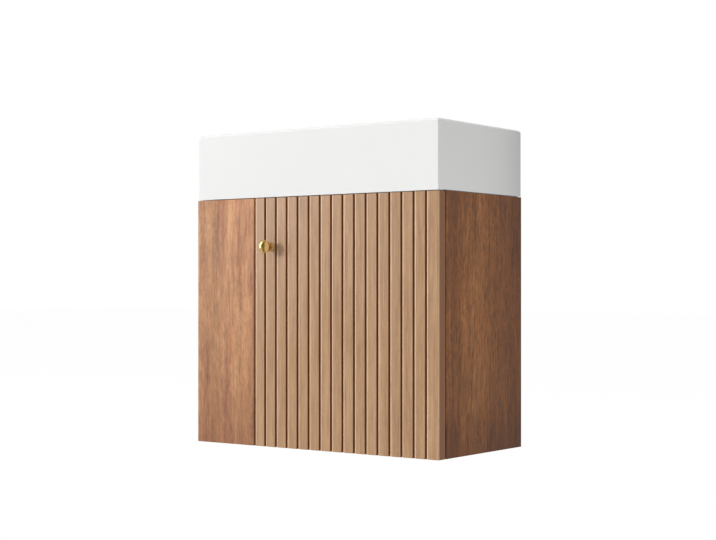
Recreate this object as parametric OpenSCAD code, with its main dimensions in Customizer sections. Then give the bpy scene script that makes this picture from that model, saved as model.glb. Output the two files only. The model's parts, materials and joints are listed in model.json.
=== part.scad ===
// Wall-hung vanity unit: a block basin on a one-door cabinet with a fluted front.
// X runs along the wall, Y = 0 is the wall and the front faces -Y, Z is up.
// The origin lies on the wall, midway between the two wall-bolt holes.

/* [Cabinet] */
// Width of the cabinet and of the basin
unit_w = 450; // [440:1:700]
// Depth of the carcass, from the wall to its front edges
carcass_d = 208; // [205:1:400]
// Height of the cabinet without the basin
cab_h = 377; // [340:1:700]
// Thickness of the carcass boards
board_t = 16; // [15.5:0.5:20]
// Height of the rail that the wall bolts go through
hang_rail_h = 90; // [84:1:110]
// Height of the lower back rail
low_rail_h = 60; // [50:1:90]
// Depth of the flat rail across the front, under the basin
front_rail_d = 60; // [50:1:64]
// Distance between the two wall-bolt holes
bolt_span = 320; // [200:1:330]
// Radius of the wall-bolt holes
bolt_hole_r = 4.5; // [3:0.25:6]

/* [Front] */
// Thickness of the door board
door_t = 16; // [15.5:0.5:22]
// Gap between the carcass front and the back of the door
front_gap = 3; // [2.9:0.1:4]
// Width of the fixed front panel on the left
fixed_w = 113.8; // [100:0.2:150]
// Gap between the fixed panel and the door
side_gap = 2; // [1.5:0.1:4]
// Gap above the front boards, below the top of the carcass
top_gap = 1; // [0.5:0.1:3]
// Number of vertical strips on the door
strip_count = 16; // [6:1:24]
// Width of a groove between strips
groove_w = 3.6; // [2:0.1:5]
// Depth of a groove
groove_d = 2.6; // [1:0.1:3.4]
// Width of the chamfer on a strip's long edges
lip = 0.7; // [0.2:0.1:1.2]

/* [Knob] */
// Drop of the knob below the top of the carcass
knob_drop = 75; // [40:1:160]
// Radius of the knob's head at its rim
knob_r = 10; // [9:0.25:18]
// How far the knob stands out from the door
knob_out = 20; // [18:0.5:40]
// Height of the domed front of the head
knob_dome = 4; // [3:0.25:7]
// Radius of the knob's neck at the base ring
neck_r = 4.4; // [3.5:0.1:6]
// Radius and thickness of the base ring
ring_r = 6.6; // [6.2:0.1:9]
ring_t = 2; // [1:0.25:4]
// Radius of the knob's machine screw
knob_screw_r = 2; // [1.5:0.25:2.5]

/* [Hinges] */
// Distance from each end of the door to its hinge
hinge_inset = 90; // [70:1:110]
// Radius and depth of the hinge cup's bore in the door
cup_bore_r = 17.5; // [17.3:0.1:18]
cup_bore_d = 11.5; // [11.3:0.1:12.4]
// Distance from the door's edge to the cup's bore
cup_edge = 3; // [2.8:0.1:3.2]
// Place of the hinge pin, from the door's edge and from its back
pin_edge = 7.3; // [7.1:0.1:7.4]
pin_deep = 8.8; // [8.7:0.05:9]
// Radius of the hinge pin
pin_r = 1; // [0.8:0.05:1.1]
// Radius of the hinge arm's knuckle
knuckle_r = 1.7; // [1.5:0.05:1.75]
// Width of the hinge arm where it reaches into the cup
arm_w = 12; // [8:0.5:12.2]
// Thickness of the hinge arm's steel
arm_t = 1.8; // [1.2:0.1:1.9]

/* [Basin] */
// Height of the basin
basin_h = 100; // [90:1:140]
// Thickness of the sealant under the basin
seal_t = 1; // [0.5:0.1:3]
// Radius of the basin's outer edges
edge_r = 5.5; // [3:0.5:8]
// Rim in front of, behind and to the left of the bowl
rim_front = 14; // [12:0.5:24]
rim_back = 18; // [14:0.5:26]
rim_left = 14; // [12:0.5:24]
// Width of the tap ledge on the right of the bowl
ledge_w = 107; // [102:1:120]
// Depth of the bowl
bowl_deep = 70; // [60:1:72]
// Radius of the bowl's corners and of its bottom edge
bowl_r = 28; // [20:1:32]
// Radius of the tap hole
tap_hole_r = 17.5; // [15:0.25:18.5]
// Radius of the overflow hole
overflow_r = 11; // [8:0.5:12]
// Radius of the channel that leads the overflow to the waste
channel_r = 5; // [3:0.25:5.5]

/* [Waste and trap] */
// Radius of the waste tube's thread
waste_r = 20.9; // [19.5:0.1:21.5]
// Radius of the drain through the waste
drain_r = 16; // [14:0.25:17]
// Length of the waste tube below the bowl
waste_len = 78; // [76:1:90]
// Radius of the waste's flange
flange_r = 31; // [30:0.5:33]
// Travel of the click plug
plug_lift = 8; // [4:0.5:9]
// Radius of the click plug's stem
stem_r = 4; // [3:0.25:5]
// Radius of the trap's pipes
pipe_r = 16; // [14:0.5:17]
// Wall of the trap's pipes and bottle
pipe_wall = 1.6; // [1:0.1:2.2]
// Radius of the trap's bottle
bottle_r = 29; // [27:0.5:36]
// Height of the trap's outlet below the wall bolts
outlet_drop = 84; // [82:1:100]

/* [Hidden] */
$fn = 48;

// Colours
cherry = [0.72, 0.53, 0.42];
oak = [0.71, 0.59, 0.48];
glaze = [0.94, 0.94, 0.93];
steel = [0.72, 0.73, 0.74];
zinc = [0.62, 0.63, 0.65];
brass = [0.83, 0.67, 0.33];
chrome_grey = [0.80, 0.81, 0.83];
dowel_wood = [0.86, 0.75, 0.57];
rubber_black = [0.14, 0.14, 0.15];
trap_white = [0.90, 0.90, 0.90];
clear_grey = [0.83, 0.85, 0.86];

// How far a cutting shape runs past what it cuts
over = 1;
// Radial play of a close fit and of a clearance hole
slip = 0.05;
loose = 0.3;
// Spare depth at the end of a blind bore
spare = 0.5;

// Carcass planes
half_w = unit_w / 2;
inner_x = half_w - board_t;
top_z = hang_rail_h / 2;
bottom_z = top_z - cab_h;
floor_z = bottom_z + board_t;
carcass_y = -carcass_d;
door_back_y = carcass_y - front_gap;
front_y = door_back_y - door_t;
fixed_right = -half_w + fixed_w;
door_left = fixed_right + side_gap;
front_top = top_z - top_gap;

// Carcass fittings
mid_z = (top_z + bottom_z) / 2;
dowel_r = 4;
dowel_short = 11;
dowel_long = 19;
cam_r = 7.5;
cam_deep = 12.5;
cam_back = 24;
cam_slot = [8, 1.6, 2];
bolt_thread_r = 2.6;
bolt_thread_l = 11;
bolt_shank_r = 3;
bolt_head_r = 3.5;
bolt_head_l = 4;
bolt_bore_r = 4;
low_cam_in = 40;
rail_cam_in = 16;
back_cam_in = 22;
low_dowel_in = 66;
// Each cam: depth from the wall, height, and the face it is let into
cam_places = [
    [carcass_y + low_cam_in, bottom_z + board_t / 2, "below"],
    [-low_cam_in, bottom_z + board_t / 2, "below"],
    [carcass_y + rail_cam_in, top_z - board_t / 2, "below"],
    [-board_t / 2, top_z - back_cam_in, "front"],
    [-board_t / 2, floor_z + rail_cam_in, "front"]
];
// Each dowel between a side and a cross board: depth from the wall and height
dowel_places = [
    [carcass_y + low_dowel_in, bottom_z + board_t / 2],
    [-low_dowel_in, bottom_z + board_t / 2],
    [carcass_y + front_rail_d - rail_cam_in, top_z - board_t / 2],
    [-board_t / 2, rail_cam_in - top_z],
    [-board_t / 2, floor_z + low_rail_h - rail_cam_in]
];
// Each dowel between the carcass front and the fixed panel: place along the wall and height
panel_dowel_in = 24;
panel_dowel_end = 56;
panel_dowel_x = fixed_right - panel_dowel_in;
panel_dowel_places = [
    [-half_w + board_t / 2, top_z - panel_dowel_end],
    [-half_w + board_t / 2, mid_z],
    [-half_w + board_t / 2, bottom_z + panel_dowel_end],
    [panel_dowel_x, top_z - board_t / 2],
    [panel_dowel_x, bottom_z + board_t / 2]
];

// Small screws
wood_screw_r = 1.9;
screw_head_r = 3.5;
screw_head_h = 2;
wood_screw_l = 11;

// Hanger plates and panel brackets
plate_t = 2;
hanger_w = 60;
hanger_h = 40;
hanger_screw_x = 22;
hanger_gap = 0.5;
hanger_x = [
    bolt_span / 2 - hanger_w / 2,
    min(bolt_span / 2 + hanger_w / 2, inner_x - hanger_gap)
];
nut_clear = 2;
bracket_leg = 25;
bracket_h = 16;
bracket_hole = 15;
bracket_off = 84;
bracket_places = [mid_z + bracket_off, mid_z - bracket_off];

// Hinge, in its own frame: u runs inwards from the side panel, v out from the carcass front
hinge_places = [front_top - hinge_inset, bottom_z + hinge_inset];
cup_u = -board_t + cup_edge + cup_bore_r;
pin_u = -board_t + pin_edge;
pin_v = front_gap + pin_deep;
cup_play = 0.1;
cup_r = cup_bore_r - cup_play;
cup_wall = 0.8;
cup_lip = 0.8;
cup_floor = 0.6;
cup_deep = cup_bore_d - cup_play;
cup_floor_v = front_gap + cup_deep - cup_floor;
flange_t = 1.2;
cup_face_v = front_gap - flange_t;
wing_off = 6;
wing_u = cup_u + wing_off;
wing_r = 6;
wing_z = 24;
pin_half = 9.9;
lug_r = 2;
lug_z = 7;
spring_t = 0.6;
spring_w = 8;
spring_play = 1.5;
spring_reach = 10;
neck_u = 2.6;
neck_v = -1;
web_u = 6.3;
web_top = web_u + arm_t;
web_v = [-58, -8];
arm_body_w = 15;
cheek_t = arm_t - 0.4;
cheek_u = 3.4;
cheek_v = [web_v[0], web_v[1] - 6];
rail_u = web_u - loose;
rail_w = 11;
rail_v = [-54, -20];
base_u = 2.5;
base_v = [rail_v[0] + 2, rail_v[1] - 4];
base_wing = [5, 22];
wing_screw_z = 16;
system_v = -37;
arm_fix_v = -48;
arm_adjust_v = -26;
arm_screw_r = 2.4;
arm_screw_foot = 1.2;
arm_head = [4, 2.2];
cup_head = [3.3, 1.6];
euro_r = 2.5;

// Door details
strip_pitch = (half_w - door_left) / strip_count;
knob_strips = 1.5;
knob_x = door_left + knob_strips * strip_pitch;
knob_z = top_z - knob_drop;
knob_rim_y = knob_out - knob_dome;
knob_cap_r = (knob_r * knob_r + knob_dome * knob_dome) / (2 * knob_dome);
knob_tap_l = 14;
knob_head = [4, 2.2];
neck_l = knob_rim_y - ring_t;
neck_pinch = 0.6;
pinch_up = 0.25 * neck_l;
flare_up = 0.55 * neck_l;
flare_r = 0.78 * knob_r;
flare_in = 0.28 * neck_l;
rim_band = 1;
ring_edge = 1;
groove_draft = 0.4;
bumper_r = 5;
bumper_t = front_gap - 0.2;
bumper_in = 14;
bumper_x = door_left + bumper_in;

// Basin planes
basin_z = top_z + seal_t;
rim_z = basin_z + basin_h;
bowl_x = [-half_w + rim_left, half_w - ledge_w];
bowl_y = [front_y + rim_front, -rim_back];
bowl_z = rim_z - bowl_deep;
waste_x = (bowl_x[0] + bowl_x[1]) / 2;
waste_y = (bowl_y[0] + bowl_y[1]) / 2;
round_fn = 32;
foot_in = 2;
drain_dip = 3;
funnel_in = 2;
funnel_w = 36;
drain_z = bowl_z - drain_dip;
seat_deep = 2.5;
seat_z = drain_z - seat_deep;
skirt = 6;
skirt_front = 20;
pocket_x = [-inner_x + skirt, inner_x - skirt];
pocket_y = [carcass_y + skirt_front, -board_t - 2];
bowl_floor_t = 17;
pocket_top = bowl_z - bowl_floor_t;
boss_r = 36;
boss_foot = 4;
boss_z = basin_z + boss_foot;
ledge_t = 14;
channel_in = 16;
channel_wall = 15;
channel_x = bowl_x[1] + channel_in;
drop_r = channel_r + 1.5;
ledge_pocket_x = [channel_x + channel_wall, inner_x - skirt];
tap_x = (ledge_pocket_x[0] + ledge_pocket_x[1]) / 2;
overflow_down = 26;
overflow_z = rim_z - overflow_down;
channel_drop = 9;
channel_z = bowl_z - channel_drop;
waste_play = 1.6;
waste_hole_r = waste_r + waste_play;
ring_face_t = 1.6;
ring_lip = 2.5;
ring_wall = 2;
ring_deep = 8;
seal_in = 4;
seal_w = 8;

// Waste planes
tail_z = drain_z - waste_len;
gasket_t = 1;
flange_proud = 0.4;
flange_plate_t = seat_deep - gasket_t + flange_proud;
flange_top = seat_z + gasket_t + flange_plate_t;
washer_t = 3;
washer_in = 0.5;
back_nut_t = 9;
back_nut_r = 30;
bridge_up = 22;
bridge_z = tail_z + bridge_up;
bridge_t = 5;
bridge_rib = 3;
boss_bore_r = 6.5;
boss_wall = 2.5;
cartridge_r = boss_bore_r - slip;
cartridge_top = flange_top - plug_lift - 2;
cartridge_floor = 3;
cartridge_collar = [1.5, 3];
stem_foot = bridge_z + cartridge_floor + loose;
stem_in = 2;
dome_t = 4;
dome_gap = 0.3;
dome_r = flange_r - 1;
dome_edge = 1;
dome_round = 1.5;
dome_rise = 0.4;

// Trap planes
union_r = 26;
union_h = 22;
union_lap = 10;
flute_r = 2;
flute_out = 0.8;
nut_wall = 4;
tube_flange_t = 2;
outlet_z = -outlet_drop;
shoulder = 6;
body_top = outlet_z + pipe_r + shoulder;
collar_r = 21;
collar_h = 12;
body_wall = pipe_wall + 1.2;
cup_skirt = 14;
cup_lap = 3;
cup_in = 2;
cup_deep_z = 34;
cup_seal_t = 1.5;
skirt_top = outlet_z - pipe_r - body_wall - 1;
body_bottom = skirt_top - cup_skirt + cup_lap;
cup_bottom = body_bottom - cup_deep_z;
dip_gap = 14;
tube_foot = cup_bottom + dip_gap;
outlet_stub = 12;
outlet_root = 6;
spigot_r = pipe_r - 0.2;
spigot_y = waste_y + bottle_r + 2;
outlet_nut_y = spigot_y + 2;
outlet_nut_l = outlet_stub + 3;
pipe_free_y = outlet_nut_y + outlet_nut_l + 1.5;

// A block between low and high limits along each axis
module block(x, y, z) {
    translate([x[0], y[0], z[0]])
        cube([x[1] - x[0], y[1] - y[0], z[1] - z[0]]);
}

// A rod of radius r and length l that starts at p and runs along one axis
module rod(p, way, r, l) {
    turn = way == "x" ? [0, 90, 0]
         : way == "-x" ? [0, -90, 0]
         : way == "y" ? [-90, 0, 0]
         : way == "-y" ? [90, 0, 0]
         : way == "-z" ? [180, 0, 0]
         : [0, 0, 0];
    translate(p) rotate(turn) cylinder(r = r, h = l);
}

// A pan-head screw whose head rests at p and whose shank runs along one axis
module screw(p, way, r, l, head_r = screw_head_r, head_h = screw_head_h) {
    back = way == "x" ? "-x"
         : way == "-x" ? "x"
         : way == "y" ? "-y"
         : way == "-y" ? "y"
         : way == "-z" ? "z"
         : "-z";
    rod(p, way, r, l);
    difference() {
        rod(p, back, head_r, head_h);
        rod(p, back, head_r * 0.35, head_h * 2);
    }
}

// Puts children written in the hinge's own frame at each given height
module at_hinge(z) {
    translate([inner_x, carcass_y, z]) rotate([0, 0, 180]) children();
}

// The cams of one side, let into the cross boards
module cam_cuts(side) {
    for (c = cam_places) {
        x = side * (inner_x - cam_back);
        if (c[2] == "below")
            rod([x, c[0], c[1] - board_t / 2 - over], "z", cam_r, cam_deep + over);
        else
            rod([x, c[0] - board_t / 2 - over, c[1]], "y", cam_r, cam_deep + over);
        rod([side * (inner_x + over), c[0], c[1]], side > 0 ? "-x" : "x", bolt_bore_r,
            cam_back + over);
    }
    for (d = dowel_places)
        rod([side * (inner_x + over), d[0], d[1]], side > 0 ? "-x" : "x",
            dowel_r + slip, dowel_long + spare + over);
}

// The blind bores in one side's inner face
module side_cuts(side) {
    way = side > 0 ? "x" : "-x";
    for (c = cam_places)
        rod([side * (inner_x - over), c[0], c[1]], way, bolt_thread_r + slip,
            bolt_thread_l + spare + over);
    for (d = dowel_places)
        rod([side * (inner_x - over), d[0], d[1]], way, dowel_r + slip,
            dowel_short + spare + over);
}

// The blind bores behind the fixed panel
module panel_dowel_cuts() {
    for (d = panel_dowel_places)
        rod([d[0], carcass_y - dowel_short - spare, d[1]], "y", dowel_r + slip,
            dowel_short + dowel_long + 2 * spare);
}

// Carcass
module left_side_panel() {
    color(cherry) difference() {
        block([-half_w, -inner_x], [carcass_y, 0], [bottom_z, top_z]);
        side_cuts(-1);
        panel_dowel_cuts();
        for (z = bracket_places)
            rod([-inner_x + over, carcass_y + bracket_hole, z], "-x", wood_screw_r + slip,
                wood_screw_l + over);
    }
}

module right_side_panel() {
    color(cherry) difference() {
        block([inner_x, half_w], [carcass_y, 0], [bottom_z, top_z]);
        side_cuts(1);
        for (z = hinge_places, s = [-1, 1])
            rod([inner_x - over, carcass_y - system_v, z + s * wing_screw_z], "x",
                euro_r + slip, wood_screw_l + spare + over);
    }
}

module bottom_panel() {
    color(cherry) difference() {
        block([-inner_x, inner_x], [carcass_y, 0], [bottom_z, floor_z]);
        for (s = [-1, 1]) cam_cuts(s);
        panel_dowel_cuts();
    }
}

module front_rail() {
    color(cherry) difference() {
        block([-inner_x, inner_x], [carcass_y, carcass_y + front_rail_d], [top_z - board_t, top_z]);
        for (s = [-1, 1]) cam_cuts(s);
        panel_dowel_cuts();
        rod([waste_x, waste_y, top_z - board_t - over], "z", back_nut_r + nut_clear,
            board_t + 2 * over);
    }
}

module hanging_rail() {
    color(cherry) difference() {
        block([-inner_x, inner_x], [-board_t, 0], [-top_z, top_z]);
        for (s = [-1, 1]) {
            cam_cuts(s);
            rod([s * bolt_span / 2, -board_t - over, 0], "y", bolt_hole_r, board_t + 2 * over);
            for (t = [-1, 1])
                rod([s * bolt_span / 2 + t * hanger_screw_x, -board_t - over, 0], "y",
                    wood_screw_r + slip, wood_screw_l + over);
        }
    }
}

module lower_back_rail() {
    color(cherry) difference() {
        block([-inner_x, inner_x], [-board_t, 0], [floor_z, floor_z + low_rail_h]);
        for (s = [-1, 1]) cam_cuts(s);
    }
}

module fixed_front_panel() {
    color(cherry) difference() {
        block([-half_w, fixed_right], [front_y, carcass_y], [bottom_z, front_top]);
        panel_dowel_cuts();
        for (z = bracket_places)
            rod([-inner_x + bracket_hole, carcass_y + over, z], "-y", wood_screw_r + slip,
                wood_screw_l + over);
    }
}

module wood_dowels() {
    color(dowel_wood) {
        for (d = dowel_places, s = [-1, 1])
            rod([s * (inner_x + dowel_short), d[0], d[1]], s > 0 ? "-x" : "x", dowel_r,
                dowel_short + dowel_long);
        for (d = panel_dowel_places)
            rod([d[0], carcass_y - dowel_short, d[1]], "y", dowel_r, dowel_short + dowel_long);
    }
}

module cam_locks() {
    color(zinc)
        for (c = cam_places, s = [-1, 1]) {
            x = s * (inner_x - cam_back);
            difference() {
                if (c[2] == "below")
                    rod([x, c[0], c[1] - board_t / 2], "z", cam_r - slip, cam_deep);
                else
                    rod([x, c[0] - board_t / 2, c[1]], "y", cam_r - slip, cam_deep);
                rod([s * inner_x, c[0], c[1]], s > 0 ? "-x" : "x", bolt_head_r + slip,
                    cam_back + over);
                if (c[2] == "below")
                    translate([x, c[0], c[1] - board_t / 2]) cube(
                        [cam_slot[0], cam_slot[1], 2 * cam_slot[2]], center = true);
                else
                    translate([x, c[0] - board_t / 2, c[1]]) cube(
                        [cam_slot[0], 2 * cam_slot[2], cam_slot[1]], center = true);
            }
        }
}

module cam_bolts() {
    color(steel)
        for (c = cam_places, s = [-1, 1]) {
            way = s > 0 ? "-x" : "x";
            rod([s * (inner_x + bolt_thread_l), c[0], c[1]], way, bolt_thread_r, bolt_thread_l);
            rod([s * inner_x, c[0], c[1]], way, bolt_shank_r, cam_back - spare);
            rod([s * (inner_x - cam_back + bolt_head_l), c[0], c[1]], way, bolt_head_r,
                bolt_head_l);
        }
}

module hanger_plates() {
    color(steel)
        for (s = [-1, 1]) {
            x = s * bolt_span / 2;
            difference() {
                block(s > 0 ? hanger_x : [-hanger_x[1], -hanger_x[0]],
                    [-board_t - plate_t, -board_t], [-hanger_h / 2, hanger_h / 2]);
                rod([x, -board_t - plate_t - over, 0], "y", bolt_hole_r, plate_t + 2 * over);
                for (t = [-1, 1])
                    rod([x + t * hanger_screw_x, -board_t - plate_t - over, 0], "y",
                        wood_screw_r + loose, plate_t + 2 * over);
            }
        }
}

module hanger_plate_screws() {
    color(zinc)
        for (s = [-1, 1], t = [-1, 1])
            screw([s * bolt_span / 2 + t * hanger_screw_x, -board_t - plate_t, 0], "y",
                wood_screw_r, plate_t + wood_screw_l - spare);
}

module panel_brackets() {
    color(steel)
        for (z = bracket_places)
            difference() {
                union() {
                    block([-inner_x, -inner_x + plate_t], [carcass_y, carcass_y + bracket_leg],
                        [z - bracket_h / 2, z + bracket_h / 2]);
                    block([-inner_x, -inner_x + bracket_leg], [carcass_y, carcass_y + plate_t],
                        [z - bracket_h / 2, z + bracket_h / 2]);
                }
                rod([-inner_x - over, carcass_y + bracket_hole, z], "x", wood_screw_r + loose,
                    plate_t + 2 * over);
                rod([-inner_x + bracket_hole, carcass_y - over, z], "y", wood_screw_r + loose,
                    plate_t + 2 * over);
            }
}

module panel_bracket_screws() {
    color(zinc)
        for (z = bracket_places) {
            screw([-inner_x + plate_t, carcass_y + bracket_hole, z], "-x", wood_screw_r,
                plate_t + wood_screw_l - spare);
            screw([-inner_x + bracket_hole, carcass_y + plate_t, z], "-y", wood_screw_r,
                plate_t + wood_screw_l - spare);
        }
}

// Hinges: a plate on the side panel, an arm on the plate, and a cup in the door
module hinge_plate() {
    color(steel) difference() {
        union() {
            block([0, base_u], base_v, [-rail_w / 2 - over, rail_w / 2 + over]);
            block([0, base_u], [system_v - base_wing[0], system_v + base_wing[0]],
                [-base_wing[1], base_wing[1]]);
            block([0, rail_u], rail_v, [-rail_w / 2, rail_w / 2]);
        }
        for (s = [-1, 1])
            rod([-over, system_v, s * wing_screw_z], "x", euro_r + loose, base_u + 2 * over);
        for (v = [arm_fix_v, arm_adjust_v])
            rod([arm_screw_foot - slip, v, 0], "x", arm_screw_r + slip, rail_u);
    }
}

module upper_hinge_plate() { at_hinge(hinge_places[0]) hinge_plate(); }

module lower_hinge_plate() { at_hinge(hinge_places[1]) hinge_plate(); }

module hinge_plate_screws() {
    color(zinc)
        for (z = hinge_places, s = [-1, 1])
            at_hinge(z)
                screw([base_u, system_v, s * wing_screw_z], "-x", euro_r, base_u + wood_screw_l);
}

module hinge_arm() {
    neck_top = pin_v + arm_t / 2;
    color(steel) difference() {
        union() {
            block([web_u, web_top], web_v, [-arm_body_w / 2, arm_body_w / 2]);
            for (s = [-1, 1]) {
                edge = s * (arm_body_w - cheek_t) / 2;
                block([cheek_u, web_top], cheek_v, [edge - cheek_t / 2, edge + cheek_t / 2]);
            }
            translate([0, 0, -arm_w / 2]) linear_extrude(arm_w)
                polygon([
                    [web_u, cheek_v[1]], [web_u, web_v[1]], [neck_u, neck_v],
                    [neck_u, neck_top - arm_t], [pin_u, neck_top - arm_t], [pin_u, neck_top],
                    [neck_u + arm_t, neck_top], [neck_u + arm_t, neck_v + arm_t / 4],
                    [web_top, web_v[1] + arm_t / 4], [web_top, cheek_v[1]]
                ]);
            rod([pin_u, pin_v, -arm_w / 2], "z", knuckle_r, arm_w);
        }
        rod([pin_u, pin_v, -arm_w], "z", pin_r + slip, 2 * arm_w);
        for (v = [arm_fix_v, arm_adjust_v])
            rod([web_u - over, v, 0], "x", arm_screw_r + slip, arm_t + 2 * over);
    }
}

module upper_hinge_arm() { at_hinge(hinge_places[0]) hinge_arm(); }

module lower_hinge_arm() { at_hinge(hinge_places[1]) hinge_arm(); }

module hinge_arm_screws() {
    color(zinc)
        for (z = hinge_places) at_hinge(z) {
            screw([web_top, arm_fix_v, 0], "-x", arm_screw_r, web_top - arm_screw_foot,
                arm_head[0], arm_head[1]);
            rod([arm_screw_foot, arm_adjust_v, 0], "x", arm_screw_r, web_top - spare);
        }
}

module hinge_cup() {
    color(steel) difference() {
        union() {
            difference() {
                union() {
                    rod([cup_u, cup_face_v, 0], "y", cup_r, cup_deep + flange_t);
                    rod([cup_u, cup_face_v, 0], "y", cup_r + cup_lip, flange_t);
                    block([wing_u - wing_r, wing_u + wing_r], [cup_face_v, front_gap],
                        [-wing_z, wing_z]);
                    for (s = [-1, 1])
                        rod([wing_u, cup_face_v, s * wing_z], "y", wing_r, flange_t);
                }
                rod([cup_u, cup_face_v - over, 0], "y", cup_r - cup_wall,
                    cup_floor_v - cup_face_v + over);
                for (s = [-1, 1])
                    rod([wing_u, cup_face_v - over, s * wing_z], "y", wood_screw_r + loose,
                        flange_t + 2 * over);
            }
            for (s = [-1, 1])
                intersection() {
                    rod([cup_u, front_gap, 0], "y", cup_r, cup_deep);
                    block([pin_u - 2 * lug_r, pin_u + lug_r], [pin_v - lug_r, front_gap + cup_deep],
                        s > 0 ? [lug_z, cup_r] : [-cup_r, -lug_z]);
                }
        }
        rod([pin_u, pin_v, -pin_half], "z", pin_r, 2 * pin_half);
    }
}

module upper_hinge_cup() { at_hinge(hinge_places[0]) hinge_cup(); }

module lower_hinge_cup() { at_hinge(hinge_places[1]) hinge_cup(); }

module hinge_pins() {
    color(zinc)
        for (z = hinge_places) at_hinge(z) rod([pin_u, pin_v, -pin_half], "z", pin_r, 2 * pin_half);
}

module hinge_springs() {
    color(steel)
        for (z = hinge_places)
            at_hinge(z)
                block([pin_u + knuckle_r + spring_play, cup_u + spring_reach],
                    [cup_floor_v - spring_t, cup_floor_v], [-spring_w / 2, spring_w / 2]);
}

module hinge_cup_screws() {
    color(zinc)
        for (z = hinge_places, s = [-1, 1])
            at_hinge(z)
                screw([wing_u, cup_face_v, s * wing_z], "y", wood_screw_r,
                    flange_t + wood_screw_l - spare, cup_head[0], cup_head[1]);
}

// Door
module groove_cut(x) {
    half = groove_w / 2;
    translate([x, front_y, bottom_z - over]) linear_extrude(cab_h + 2 * over)
        polygon([
            [-half - lip - over, -over], [-half, lip], [-half + groove_draft, groove_d],
            [half - groove_draft, groove_d], [half, lip], [half + lip + over, -over]
        ]);
}

module door_panel() {
    color(oak) difference() {
        block([door_left, half_w], [front_y, door_back_y], [bottom_z, front_top]);
        for (i = [1:strip_count - 1]) groove_cut(door_left + i * strip_pitch);
        for (z = hinge_places) {
            at_hinge(z) rod([cup_u, front_gap - over, 0], "y", cup_bore_r, cup_bore_d + over);
            for (s = [-1, 1])
                at_hinge(z) rod([wing_u, front_gap - over, s * wing_z], "y", wood_screw_r + slip,
                    wood_screw_l + over);
        }
        rod([knob_x, door_back_y + over, knob_z], "-y", knob_screw_r + loose, door_t + 2 * over);
    }
}

module door_bumpers() {
    color(clear_grey)
        for (z = [front_top - board_t / 2, bottom_z + board_t / 2])
            rod([bumper_x, door_back_y, z], "y", bumper_r, bumper_t);
}

module knob() {
    color(brass) translate([knob_x, front_y, knob_z]) rotate([90, 0, 0]) difference() {
        rotate_extrude() {
            polygon([
                [0, ring_t], [neck_r, ring_t], [neck_r - neck_pinch, ring_t + pinch_up],
                [neck_r + neck_pinch, ring_t + flare_up], [flare_r, knob_rim_y - flare_in],
                [knob_r, knob_rim_y - rim_band], [knob_r, knob_rim_y], [0, knob_rim_y]
            ]);
            intersection() {
                translate([0, knob_out - knob_cap_r]) circle(knob_cap_r);
                translate([0, knob_rim_y]) square([knob_r, knob_dome]);
            }
        }
        translate([0, 0, -over]) cylinder(r = knob_screw_r + slip, h = knob_tap_l + over + spare);
    }
}

module knob_ring() {
    color(brass) translate([knob_x, front_y, knob_z]) rotate([90, 0, 0]) difference() {
        rotate_extrude()
            polygon([
                [0, 0], [ring_r, 0], [ring_r, ring_t / 2], [ring_r - ring_edge, ring_t], [0, ring_t]
            ]);
        translate([0, 0, -over]) cylinder(r = knob_screw_r + loose, h = ring_t + 2 * over);
    }
}

module knob_screw() {
    color(zinc)
        screw([knob_x, door_back_y, knob_z], "-y", knob_screw_r, door_t + knob_tap_l,
            knob_head[0], knob_head[1]);
}

// Basin
module basin_block() {
    hull()
        for (x = [-half_w + edge_r, half_w - edge_r], y = [front_y + edge_r, -edge_r]) {
            translate([x, y, rim_z - edge_r]) sphere(edge_r, $fn = round_fn);
            translate([x, y, basin_z + foot_in]) cylinder(r = edge_r, h = 1, $fn = round_fn);
            translate([x, y, basin_z]) cylinder(r = edge_r - foot_in, h = 1, $fn = round_fn);
        }
}

module bowl_cut() {
    hull()
        for (x = [bowl_x[0] + bowl_r, bowl_x[1] - bowl_r], y = [bowl_y[0] + bowl_r, bowl_y[1] - bowl_r]) {
            translate([x, y, bowl_z + bowl_r]) sphere(bowl_r, $fn = round_fn);
            translate([x, y, bowl_z + bowl_r])
                cylinder(r = bowl_r, h = bowl_deep - bowl_r + over, $fn = round_fn);
        }
}

module basin() {
    color(glaze) difference() {
        basin_block();
        bowl_cut();
        difference() {
            block(pocket_x, pocket_y, [basin_z - over, pocket_top]);
            rod([waste_x, waste_y, boss_z], "z", boss_r, pocket_top - boss_z + over);
        }
        block(ledge_pocket_x, pocket_y, [basin_z - over, rim_z - ledge_t]);
        rod([tap_x, waste_y, rim_z - ledge_t - over], "z", tap_hole_r, ledge_t + 2 * over);
        rod([waste_x, waste_y, basin_z], "z", waste_hole_r, basin_h);
        translate([waste_x, waste_y, drain_z])
            cylinder(r1 = flange_r + funnel_in, r2 = flange_r + funnel_w, h = drain_dip + loose);
        rod([waste_x, waste_y, seat_z], "z", flange_r + over, seat_deep + over);
        rod([bowl_x[1] - over, waste_y, overflow_z], "x", overflow_r, channel_in + over);
        rod([channel_x, waste_y, channel_z - channel_r], "z", drop_r,
            overflow_z + overflow_r - channel_z);
        rod([waste_x + over, waste_y, channel_z], "x", channel_r, channel_x - waste_x);
    }
}

module basin_seal() {
    color(clear_grey) difference() {
        block([-half_w + seal_in, half_w - seal_in], [carcass_y + seal_in, -seal_in],
            [top_z, basin_z]);
        block([-half_w + seal_in + seal_w, half_w - seal_in - seal_w],
            [carcass_y + seal_in + seal_w, -seal_in - seal_w], [top_z - over, basin_z + over]);
    }
}

module overflow_ring() {
    color(chrome_grey) difference() {
        union() {
            rod([bowl_x[1] - ring_face_t, waste_y, overflow_z], "x", overflow_r + ring_lip,
                ring_face_t);
            rod([bowl_x[1] - over, waste_y, overflow_z], "x", overflow_r - slip, ring_deep + over);
        }
        rod([bowl_x[1] - ring_face_t - over, waste_y, overflow_z], "x", overflow_r - ring_wall,
            ring_face_t + ring_deep + 2 * over);
    }
}

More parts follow.
